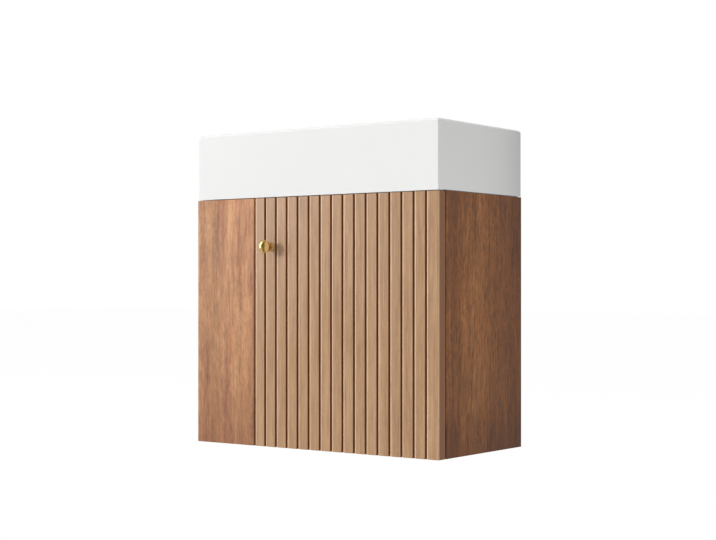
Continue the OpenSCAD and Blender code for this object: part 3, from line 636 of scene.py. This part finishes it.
def beech(name):
    # Dowels lie along X, so their grain is drawn out that way
    s = beechLook
    r = Recipe(name)
    lines = r.noise(r.place * (0.04, 0.2, 1), s["lines"], 3, 0.6)
    flecks = r.noise(r.place * (0.2, 1, 1), s["flecks"], 1, 0.4).step(s["fleckFrom"], s["fleckTo"])
    shade = r.mix(lines, tint(*s["low"]), tint(*s["high"]))
    shade = r.mix(flecks * s["fleckShare"], shade, tint(*s["fleck"]))
    return r.finish(shade, s["rough"] + (lines - 0.5) * s["roughSpread"], lines, s["relief"])


cherryFront = woodDecor("cherry decor, front", cherryFrontLook)
cherrySidePaintedShade = woodDecor("cherry decor, sides, painted shade", paintedShadeSideLook)
cherryLying = woodDecor("cherry decor, lying boards", cherryInnerLook, lying=True)
finishes = {
    "cherry_decor": cherryFront,
    "fluted_oak": flutedOak("fluted oak"),
    "dowel_beech": beech("beech dowel"),
    "zinc_fittings": brushedMetal("zinc plate", (186, 188, 190), 0.34),
    "pressed_steel": brushedMetal("pressed nickelled steel", (200, 201, 202), 0.26),
    "polished_brass": polishedMetal("polished brass", (205, 163, 86), 0.15, coat=1),
    "turned_brass": brushedMetal("turned brass", (206, 168, 96), 0.3, (1, 1, 12)),
    "white_glaze": glazedWhite("white glaze"),
    "chrome_plate": polishedMetal("chrome plate", (222, 224, 227), 0.06),
    "clear_silicone": clearSilicone("clear silicone"),
    "black_rubber": rubber("black rubber", (34, 34, 36), 0.55),
    "white_plastic": mouldedPlastic("white moulded plastic", (228, 228, 226), 0.34),
}
for node, piece in frame["nodes"].items():
    piece.data.materials.clear()
    piece.data.materials.append(finishes[slotOf[node]])
print("materials made:", len(finishes) + 2)


# Shared modelling steps

def blockMesh(low, high):
    bm = bmesh.new()
    bmesh.ops.create_cube(bm, size=1)
    bmesh.ops.scale(bm, vec=Vector(high) - Vector(low), verts=bm.verts)
    bmesh.ops.translate(bm, vec=(Vector(low) + Vector(high)) / 2, verts=bm.verts)
    return bm


def roundEdges(bm, edges, size, steps):
    bmesh.ops.bevel(
        bm, geom=list(edges), offset=size, offset_type="OFFSET", segments=steps, profile=0.5,
        affect="EDGES", clamp_overlap=True, material=-1,
    )


def faceAt(bm, way, place):
    # The largest face that looks along way and lies at place on that axis
    axis = max(range(3), key=lambda i: abs(way[i]))
    found = [
        f for f in bm.faces
        if f.normal.dot(Vector(way)) > 0.99 and abs(f.calc_center_median()[axis] - place) < nearly
    ]
    return max(found, key=lambda f: f.calc_area())


def sinkFace(bm, face, low, high, depth):
    # Draws the face in to the rectangle low-high and pushes it in by depth
    insetFirst = 1 * mm
    bmesh.ops.inset_region(bm, faces=[face], thickness=insetFirst)
    middle = face.calc_center_median()
    for v in face.verts:
        v.co.x = low[0] if v.co.x < middle.x else high[0]
        v.co.y = low[1] if v.co.y < middle.y else high[1]
    pushed = bmesh.ops.extrude_discrete_faces(bm, faces=[face])["faces"]
    bmesh.ops.translate(bm, vec=(0, 0, depth), verts=pushed[0].verts)
    return pushed[0]


curveSteps = 5


def turned(profile, steps=64):
    # Spins (radius, height, rounding) points about Z. A rounding draws the corner as a curve.
    points = []
    for i, point in enumerate(profile):
        here = Vector(point[:2])
        size = point[2] if len(point) > 2 else 0
        if not size:
            points.append(here)
            continue
        before = Vector(profile[i - 1][:2]) - here
        after = Vector(profile[(i + 1) % len(profile)][:2]) - here
        start = here + before.normalized() * min(size, before.length / 2)
        end = here + after.normalized() * min(size, after.length / 2)
        for k in range(curveSteps + 1):
            t = k / curveSteps
            points.append(start * (1 - t) ** 2 + here * 2 * t * (1 - t) + end * t ** 2)
    bm = bmesh.new()
    verts = [bm.verts.new((p.x, 0, p.y)) for p in points]
    edges = [bm.edges.new((a, b)) for a, b in zip(verts, verts[1:])]
    bmesh.ops.spin(
        bm, geom=verts + edges, cent=(0, 0, 0), axis=(0, 0, 1), angle=2 * math.pi, steps=steps,
        use_merge=True,
    )
    bmesh.ops.remove_doubles(bm, verts=bm.verts, dist=0.001 * mm)
    rims = [e for e in bm.edges if e.is_boundary]
    if rims:
        bmesh.ops.holes_fill(bm, edges=rims)
    bmesh.ops.recalc_face_normals(bm, faces=bm.faces)
    return bm


turns = {"Z": (0, "X"), "X": (90, "Y"), "Y": (-90, "X"), "-Y": (90, "X")}


def lay(bm, spot, way="Z"):
    # Turns a Z-built shape to another axis and moves it to its spot
    angle, axis = turns[way]
    turn = Matrix.Rotation(math.radians(angle), 4, axis)
    bmesh.ops.transform(bm, matrix=Matrix.Translation(spot) @ turn, verts=bm.verts)
    return bm


def combined(bm, others, operation):
    # Cuts or joins shapes exactly
    def loose(shape):
        mesh = bpy.data.meshes.new("part")
        shape.to_mesh(mesh)
        shape.free()
        made = bpy.data.objects.new("part", mesh)
        bpy.context.scene.collection.objects.link(made)
        return made

    main = loose(bm)
    tools = [loose(other) for other in others]
    for tool in tools:
        step = main.modifiers.new("step", "BOOLEAN")
        step.operation = operation
        step.solver = "EXACT"
        step.object = tool
    view = main.evaluated_get(bpy.context.evaluated_depsgraph_get())
    result = bmesh.new()
    result.from_mesh(view.to_mesh())
    view.to_mesh_clear()
    for part in [main, *tools]:
        mesh = part.data
        bpy.data.objects.remove(part)
        bpy.data.meshes.remove(mesh)
    bmesh.ops.remove_doubles(result, verts=result.verts, dist=weld)
    return result


def addPiece(name, bm, nodes, material=None, crease=32):
    mesh = bpy.data.meshes.new(name)
    bm.to_mesh(mesh)
    bm.free()
    piece = bpy.data.objects.new(name, mesh)
    bpy.context.scene.collection.objects.link(piece)
    mesh.materials.append(material or finishes[slotOf[nodes[0]]])
    mesh.shade_smooth()
    mesh.set_sharp_from_angle(angle=math.radians(crease))
    even = piece.modifiers.new("even shading", "WEIGHTED_NORMAL")
    even.keep_sharp = True
    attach(piece, bodyOf[nodes[0]])
    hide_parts(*nodes)


easing = {
    "flat": 0.4,  # degrees below which two faces are one
    "sharp": 32,
    "steps": 2,
    "boldSteps": 5,
}


def easedCopy(node, size, corner=None, bold=0):
    # A CAD node's own shape with its outer edges eased, and the upright one at corner more boldly
    s = easing
    bm = bmesh.new()
    bm.from_mesh(frame["nodes"][node].data)
    bmesh.ops.remove_doubles(bm, verts=bm.verts, dist=weld)
    bmesh.ops.dissolve_limit(bm, angle_limit=math.radians(s["flat"]), verts=bm.verts, edges=bm.edges)
    if corner:
        upright = [e for e in bm.edges if all((v.co.xy - corner).length < 0.1 * mm for v in e.verts)]
        roundEdges(bm, upright, bold, s["boldSteps"])
    edges = [
        e for e in bm.edges
        if len(e.link_faces) == 2 and e.is_convex and e.calc_face_angle() > math.radians(s["sharp"])
    ]
    roundEdges(bm, edges, size, s["steps"])
    return bm


# Basin

basinShape = {
    "over": 1 * mm,  # cutters stand this far past the faces that they cut
    "edge": 4.6 * mm,
    "edgeSteps": 6,
    "upright": 2.2 * mm,
    "uprightSteps": 4,
    "seamReach": 8 * mm,
    "seamSharp": 12,
    "foot": 0.5 * mm,
    "footSteps": 3,
    "drip": 1 * mm,  # the front hangs this much lower, over the door
    "dripDeep": 12 * mm,
    "rimFront": 14 * mm,
    "rimBack": 18 * mm,
    "rimLeft": 14 * mm,
    "ledge": 107 * mm,
    "deep": 70 * mm,
    "corner": 27.5 * mm,
    "cornerSteps": 12,
    "floorRound": 26 * mm,
    "floorSteps": 10,
    "lip": 3.5 * mm,
    "lipSteps": 5,
    "pocketSide": 22 * mm,
    "pocketFront": 39 * mm,
    "pocketBack": 18 * mm,
    "floorThick": 17 * mm,
    "ledgeThick": 14 * mm,
    "ledgeWall": 31 * mm,
    "bossRadius": 36 * mm,
    "bossUp": 4 * mm,
    "bossEdge": 1.5 * mm,
    "bossIn": 2 * mm,
    "wasteHole": 22.5 * mm,
    "seatRadius": 32 * mm,
    "seatDeep": 2.5 * mm,
    "wasteRound": 1 * mm,
    "dip": 3 * mm,
    "dipRadius": 67 * mm,
    "dipOver": 0.2 * mm,
    "tapHole": 17.5 * mm,
    "tapRound": 2 * mm,
    "overflowDown": 26 * mm,
    "overflowHole": 11 * mm,
}


def buildBasin():
    s = basinShape
    over = s["over"]
    low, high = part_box("basin")
    base = low.z - s["drip"]
    bm = blockMesh((low.x, low.y, base), high)
    roundEdges(bm, faceAt(bm, (0, 0, 1), high.z).edges, s["edge"], s["edgeSteps"])
    for corner in (Vector((x, y)) for x in (low.x, high.x) for y in (low.y, high.y)):
        # The upright edge and the seam that runs on from it over the rounding
        seam = []
        for e in bm.edges:
            away = [v.co.xy - corner for v in e.verts]
            near = all(max(abs(a.x), abs(a.y)) < s["seamReach"] for a in away)
            mitred = all(abs(abs(a.x) - abs(a.y)) < nearly for a in away)
            if near and mitred and e.calc_face_angle() > math.radians(s["seamSharp"]):
                seam.append(e)
        roundEdges(bm, seam, s["upright"], s["uprightSteps"])
    roundEdges(bm, faceAt(bm, (0, 0, -1), base).edges, s["foot"], s["footSteps"])

    bowlLow = Vector((low.x + s["rimLeft"], low.y + s["rimFront"]))
    bowlHigh = Vector((high.x - s["ledge"], high.y - s["rimBack"]))
    waste = (bowlLow + bowlHigh) / 2
    top = faceAt(bm, (0, 0, 1), high.z)
    sinkFace(bm, top, bowlLow, bowlHigh, -s["deep"])
    uprights = [
        e for e in bm.edges
        if {round(v.co.z, 5) for v in e.verts} == {round(high.z, 5), round(high.z - s["deep"], 5)}
    ]
    roundEdges(bm, uprights, s["corner"], s["cornerSteps"])
    floor = faceAt(bm, (0, 0, 1), high.z - s["deep"])
    roundEdges(bm, floor.edges, s["floorRound"], s["floorSteps"])
    rim = [
        e for e in bm.edges
        if all(abs(v.co.z - high.z) < nearly for v in e.verts)
        and all(bowlLow.x - mm < v.co.x < bowlHigh.x + mm for v in e.verts)
        and all(bowlLow.y - mm < v.co.y < bowlHigh.y + mm for v in e.verts)
        and e.calc_face_angle() > 0.5
    ]
    roundEdges(bm, rim, s["lip"], s["lipSteps"])

    under = faceAt(bm, (0, 0, -1), base)
    pocketLow = (low.x + s["pocketSide"], low.y + s["pocketFront"])
    pocketHigh = (high.x - s["pocketSide"], high.y - s["pocketBack"])
    ceiling = high.z - s["deep"] - s["floorThick"]
    roof = sinkFace(bm, under, pocketLow, pocketHigh, ceiling - base)
    ledgeFrom = bowlHigh.x + s["ledgeWall"]
    bmesh.ops.bisect_plane(
        bm, geom=[roof, *roof.edges, *roof.verts], plane_co=(ledgeFrom, 0, 0), plane_no=(1, 0, 0)
    )
    ceilings = [
        f for f in bm.faces
        if f.normal.z < -0.99 and abs(f.calc_center_median().z - ceiling) < nearly
    ]
    roof = max(ceilings, key=lambda f: f.calc_center_median().x)
    raised = bmesh.ops.extrude_discrete_faces(bm, faces=[roof])["faces"][0]
    bmesh.ops.translate(bm, vec=(0, 0, high.z - s["ledgeThick"] - ceiling), verts=raised.verts)

    drain = high.z - s["deep"] - s["dip"]
    seat = drain - s["seatDeep"]
    boss = turned([
        (0, low.z + s["bossUp"]),
        (s["bossRadius"], low.z + s["bossUp"], s["bossEdge"]),
        (s["bossRadius"], ceiling + s["bossIn"]),
        (0, ceiling + s["bossIn"]),
    ])
    bm = combined(bm, [lay(boss, (waste.x, waste.y, 0))], "UNION")
    dipTop = drain + s["dip"] + s["dipOver"]
    wasteCut = turned([
        (0, low.z - over),
        (s["wasteHole"], low.z - over),
        (s["wasteHole"], seat, s["wasteRound"]),
        (s["seatRadius"], seat),
        (s["seatRadius"], drain, s["wasteRound"]),
        (s["dipRadius"], dipTop),
        (0, dipTop),
    ], 96)
    tapX = (ledgeFrom + high.x - s["pocketSide"]) / 2
    tapFoot = high.z - s["ledgeThick"] - over
    tapMouth = s["tapHole"] + 2 * s["tapRound"]
    tapCut = turned([
        (0, tapFoot),
        (s["tapHole"], tapFoot),
        (s["tapHole"], high.z, s["tapRound"]),
        (tapMouth, high.z),
        (tapMouth, high.z + over),
        (0, high.z + over),
    ])
    ledgeIn = s["ledgeWall"] / 2
    overflowCut = turned([
        (0, -over), (s["overflowHole"], -over), (s["overflowHole"], ledgeIn), (0, ledgeIn),
    ], 48)
    overflowZ = high.z - s["overflowDown"]
    behindDrip = blockMesh(
        (low.x - over, low.y + s["dripDeep"], base - over), (high.x + over, high.y + over, low.z)
    )
    cuts = [
        lay(wasteCut, (waste.x, waste.y, 0)),
        lay(tapCut, (tapX, waste.y, 0)),
        lay(overflowCut, (bowlHigh.x, waste.y, overflowZ), "X"),
        behindDrip,
    ]
    bm = combined(bm, cuts, "DIFFERENCE")
    addPiece("block_basin", bm, ["basin"])


buildBasin()
print("basin made")


# Door

def buildDoor():
    s = doorShape
    low, high = doorLow, doorHigh
    bm = bmesh.new()
    front, back, bottom = low.y, low.y + s["deep"] * s["stretch"], low.z
    chain = [bm.verts.new((low.x, high.y, bottom)), bm.verts.new((low.x, front, bottom))]
    for i in range(1, stripCount):
        middle = low.x + i * stripPitch + s["shift"]
        left, right = middle - s["gap"] / 2, middle + s["gap"] / 2
        chain += [bm.verts.new((x, y, bottom)) for x, y in (
            (left, front), (left, back), (right, back), (right, front),
        )]
    chain += [bm.verts.new((high.x, front, bottom)), bm.verts.new((high.x, high.y, bottom))]
    bm.faces.new(chain)
    lips = chain[2:-2]
    for side, size in ((lips[0::4], s["roundRight"]), ([chain[1], *lips[3::4]], s["roundLeft"])):
        bmesh.ops.bevel(
            bm, geom=side, offset=size, offset_type="OFFSET", segments=s["roundSteps"], profile=0.5,
            affect="VERTICES", clamp_overlap=False, material=-1,
        )
    bmesh.ops.scale(
        bm, vec=(1, 1 / s["stretch"], 1), space=Matrix.Translation((0, -front, 0)),
        verts=[v for v in bm.verts if v.co.y < high.y - mm],
    )
    raised = bmesh.ops.extrude_face_region(bm, geom=bm.faces[:])["geom"]
    moved = [g for g in raised if isinstance(g, bmesh.types.BMVert)]
    bmesh.ops.translate(bm, vec=(0, 0, high.z - low.z), verts=moved)
    bmesh.ops.recalc_face_normals(bm, faces=bm.faces)
    outer = [e for e in bm.edges if e.is_convex and e.calc_face_angle() > math.radians(s["sharp"])]
    roundEdges(bm, outer, s["edge"], s["edgeSteps"])
    cuts = []
    for node in ("upper_hinge_cup", "lower_hinge_cup"):
        cupLow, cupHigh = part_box(node)
        cut = turned([
            (0, -s["cupDeep"]), (s["cupRadius"], -s["cupDeep"]), (s["cupRadius"], 0, s["cupMouth"]),
            (s["cupRadius"] + mm, 0), (s["cupRadius"] + mm, mm), (0, mm),
        ])
        spot = (high.x - s["cupIn"], high.y, (cupLow.z + cupHigh.z) / 2)
        cuts.append(lay(cut, spot, "Y"))
    bm = combined(bm, cuts, "DIFFERENCE")
    addPiece("fluted_door", bm, ["door_panel"])


buildDoor()
print("door made")


# Boards with eased edges: the name of each piece and its material, by node

boards = {
    "left_side_panel": ("left_side_board", cherrySidePaintedShade),
    "right_side_panel": ("right_side_board", cherrySidePaintedShade),
    "fixed_front_panel": ("fixed_front_board", cherryFront),
    "bottom_panel": ("bottom_board", cherryLying),
    "front_rail": ("front_rail_board", cherryLying),
    "hanging_rail": ("hanging_rail_board", cherryLying),
    "lower_back_rail": ("lower_back_board", cherryLying),
}
boardEase = 0.5 * mm
fixedLow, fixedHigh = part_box("fixed_front_panel")
corners = {
    "fixed_front_panel": (Vector((fixedHigh.x, fixedLow.y)), 1.6 * mm),
    "right_side_panel": (Vector((sideHigh.x, sideLow.y)), 1.3 * mm),
}
for node, (name, material) in boards.items():
    corner, bold = corners.get(node, (None, 0))
    addPiece(name, easedCopy(node, boardEase, corner, bold), [node], material)
print("boards made:", len(boards))


# Knob

knobShape = {
    "foot": 6 * mm,
    "neck": 4.4 * mm,
    "neckGrow": 0.3 * mm,
    "waist": (0.34, 4 * mm),  # share of the neck's length, and rounding
    "flare": (0.52, 3 * mm),
    "under": (0.84, 0.7, 2.4 * mm),  # share of the rim's radius, share of the neck's length, rounding
    "dome": 4 * mm,
    "rimBand": 1.6 * mm,
    "rimUp": 0.6 * mm,
    "rimRound": 1.5 * mm,
    "shoulder": (0.72, 1.1 * mm),  # share of the rim's radius, and drop from the top
    "crown": (0.34, 0.1 * mm),
    "crownRound": 2.6 * mm,
    "ringThick": 2 * mm,
    "ringEdge": 0.9 * mm,
}


def buildKnob():
    s = knobShape
    low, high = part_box("knob")
    ringLow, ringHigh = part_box("knob_ring")
    spot = ((low.x + high.x) / 2, doorLow.y, (low.z + high.z) / 2)
    out = doorLow.y - low.y
    rim = (high.x - low.x) / 2
    ring = (ringHigh.x - ringLow.x) / 2
    foot = s["ringThick"]
    domeFoot = out - s["dome"]
    neckLong = domeFoot - foot
    waist, waistRound = s["waist"]
    flare, flareRound = s["flare"]
    underWide, underUp, underRound = s["under"]
    shoulder, shoulderDrop = s["shoulder"]
    crown, crownDrop = s["crown"]
    knob = turned([
        (0, foot),
        (s["foot"], foot, 0.3 * mm),
        (s["neck"], foot + waist * neckLong, waistRound),
        (s["neck"] + s["neckGrow"], foot + flare * neckLong, flareRound),
        (rim * underWide, foot + underUp * neckLong, underRound),
        (rim, domeFoot - s["rimBand"], s["rimBand"]),
        (rim, domeFoot + s["rimUp"], s["rimRound"]),
        (rim * shoulder, out - shoulderDrop, s["crownRound"]),
        (rim * crown, out - crownDrop, s["crownRound"]),
        (0, out),
    ], 72)
    base = turned([
        (0, 0),
        (ring, 0, 0.2 * mm),
        (ring, foot * 0.55, 0.5 * mm),
        (ring - s["ringEdge"], foot, 0.4 * mm),
        (0, foot),
    ])
    addPiece("brass_knob", lay(knob, spot, "-Y"), ["knob"])
    addPiece("brass_knob_ring", lay(base, spot, "-Y"), ["knob_ring"])


buildKnob()
print("knob made")


# Fittings: the CAD shapes with eased edges, by node, with the easing in mm

fittings = {
    "overflow_ring": 0.5,
    "waste_body": 0.5,
    "waste_flange_gasket": 0.3,
    "waste_under_washer": 0.3,
    "waste_back_nut": 0.9,
    "plug_cartridge": 0.3,
    "plug_stem": 0.4,
    "trap_union_nut": 0.9,
    "trap_inlet_tube": 0.5,
    "trap_body": 1,
    "trap_body_nut": 0.8,
    "trap_cup": 1.2,
    "trap_outlet_nut": 0.8,
    "trap_outlet_pipe": 0.5,
    "upper_hinge_plate": 0.25,
    "lower_hinge_plate": 0.25,
    "upper_hinge_arm": 0.3,
    "lower_hinge_arm": 0.3,
    "upper_hinge_cup": 0.3,
    "lower_hinge_cup": 0.3,
    "hinge_pins": 0.3,
    "hinge_plate_screws": 0.25,
    "hinge_arm_screws": 0.25,
    "hinge_cup_screws": 0.25,
    "hanger_plates": 0.4,
    "hanger_plate_screws": 0.3,
    "panel_brackets": 0.4,
    "panel_bracket_screws": 0.25,
    "cam_locks": 0.4,
    "cam_bolts": 0.3,
    "wood_dowels": 0.6,
    "door_bumpers": 0.6,
    "knob_screw": 0.4,
}
for node, size in fittings.items():
    addPiece(node + "_detail", easedCopy(node, size * mm), [node])
print("fittings made:", len(fittings))

plugShape = {
    "crown": 1.1 * mm,
    "edge": 0.9 * mm,
    "over": 3 * mm,
    "rings": 14,
    "crease": 20,
}


def buildPlug():
    # The flat CAD disc with its top turned to a shallow crown
    s = plugShape
    low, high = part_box("plug_dome")
    middle = (low + high) / 2
    radius = (high.x - low.x) / 2
    reach = radius + s["over"]
    crown = [(0, low.z - mm), (reach, low.z - mm)]
    for k in range(s["rings"] + 1):
        out = reach * (1 - k / s["rings"])
        crown.append((out, high.z - s["crown"] * (out / radius) ** 2))
    crown = lay(turned(crown, 96), (middle.x, middle.y, 0))
    bm = combined(easedCopy("plug_dome", s["edge"]), [crown], "INTERSECT")
    addPiece("plug_dome_crowned", bm, ["plug_dome"], crease=s["crease"])


buildPlug()
print("plug made")


# Stage

stageLook = {
    "floorDrop": 0.85,
    "floorSize": 60,
    "floorColor": (0.86, 0.86, 0.86, 1),
    "floorShare": 0.9,
    "floorLight": 1.06,
    "ambient": 0.385,
    "white": 1.0,
    "darkSide": (-0.5, -0.866, 0),
    "flatten": (1, 1, 0.05),
    "darkFrom": 0.955,
    "darkTo": 0.985,
    "dark": 0.26,
    "room": 0.95,
}


def darkFront(r, way):
    # The dimmer part of the room in front, as polished metal mirrors it
    s = stageLook
    kind = "ShaderNodeVectorMath"
    flat = r.node(kind, {"operation": "NORMALIZE"}, {0: way * s["flatten"]})
    facing = r.node(kind, {"operation": "DOT_PRODUCT"}, {0: flat, 1: s["darkSide"]}, "Value")
    return facing.step(s["darkFrom"], s["darkTo"]) * (1 - s["dark"])


def makeStage():
    s = stageLook
    bm = bmesh.new()
    bmesh.ops.create_grid(bm, x_segments=1, y_segments=1, size=s["floorSize"] / 2)
    bmesh.ops.translate(bm, vec=(0, 0, cadBox[1].z - s["floorDrop"]), verts=bm.verts)
    mesh = bpy.data.meshes.new("floor")
    bm.to_mesh(mesh)
    bm.free()
    floor = bpy.data.objects.new("floor", mesh)
    bpy.context.scene.collection.objects.link(floor)
    r = Recipe("pale floor")
    mirrored = r.rays("Is Glossy Ray") + r.rays("Is Transmission Ray")
    shown = r.rays("Is Camera Ray") + mirrored
    dimmed = mirrored * darkFront(r, r.place)
    plain = r.node("ShaderNodeBsdfDiffuse", {}, {"Color": s["floorColor"]})
    glow = (1 - dimmed) * s["floorLight"]
    bright = r.node("ShaderNodeEmission", {}, {"Color": (1, 1, 1, 1), "Strength": glow})
    seen = r.node("ShaderNodeMixShader", {}, {0: shown * s["floorShare"], 1: plain, 2: bright})
    below = r.node("ShaderNodeNewGeometry", {}, {}, "Backfacing")
    clear = r.node("ShaderNodeBsdfTransparent", {}, {})
    seen = r.node("ShaderNodeMixShader", {}, {0: below, 1: seen, 2: clear})
    r.node("ShaderNodeOutputMaterial", {}, {"Surface": seen}, None)
    mesh.materials.append(r.material)

    world = bpy.data.worlds.new("studio")
    world.use_nodes = True
    bpy.context.scene.world = world
    r = Recipe("studio", world.node_tree)
    seen = r.rays("Is Camera Ray")
    mirrored = r.rays("Is Glossy Ray") + r.rays("Is Transmission Ray")
    room = (1 - darkFront(r, r.node("ShaderNodeTexCoord", {}, {}, "Generated"))) * s["room"]
    level = (1 - seen - mirrored) * s["ambient"] + seen * s["white"] + mirrored * room
    sky = r.node("ShaderNodeBackground", {}, {"Color": (1, 1, 1, 1), "Strength": level})
    r.node("ShaderNodeOutputWorld", {}, {"Surface": sky}, None)


# Side and up are degrees from straight in front, far and size are in m, power is in W
lamps = {
    "top": {"side": 0, "up": 88, "far": 3, "size": (2, 2), "power": 32, "mirrored": False},
    "key": {"side": -45, "up": 14, "far": 10, "size": (1.6, 2.6), "power": 702, "mirrored": False},
    "fill": {"side": 74, "up": 2, "far": 0.85, "size": (0.5, 0.5), "power": 0.85, "mirrored": False},
    "glint": {"side": -68, "up": 12, "far": 8, "size": (3.6, 6.4), "power": 320, "mirrored": True},
}


def addLamps():
    middle = (cadBox[0] + cadBox[1]) / 2
    for name, s in lamps.items():
        data = bpy.data.lights.new(name, "AREA")
        data.shape = "RECTANGLE"
        data.size, data.size_y = s["size"]
        data.energy = s["power"]
        lamp = bpy.data.objects.new(name, data)
        side, up = math.radians(s["side"]), math.radians(s["up"])
        way = Vector((math.sin(side) * math.cos(up), -math.cos(side) * math.cos(up), math.sin(up)))
        lamp.location = middle + way * s["far"]
        lamp.rotation_euler = way.to_track_quat("Z", "Y").to_euler()
        lamp.visible_camera = False
        lamp.visible_glossy = s["mirrored"]
        lamp.visible_diffuse = not s["mirrored"]
        bpy.context.scene.collection.objects.link(lamp)


makeStage()
addLamps()
bpy.context.scene.view_settings.view_transform = "Standard"
print("stage made")
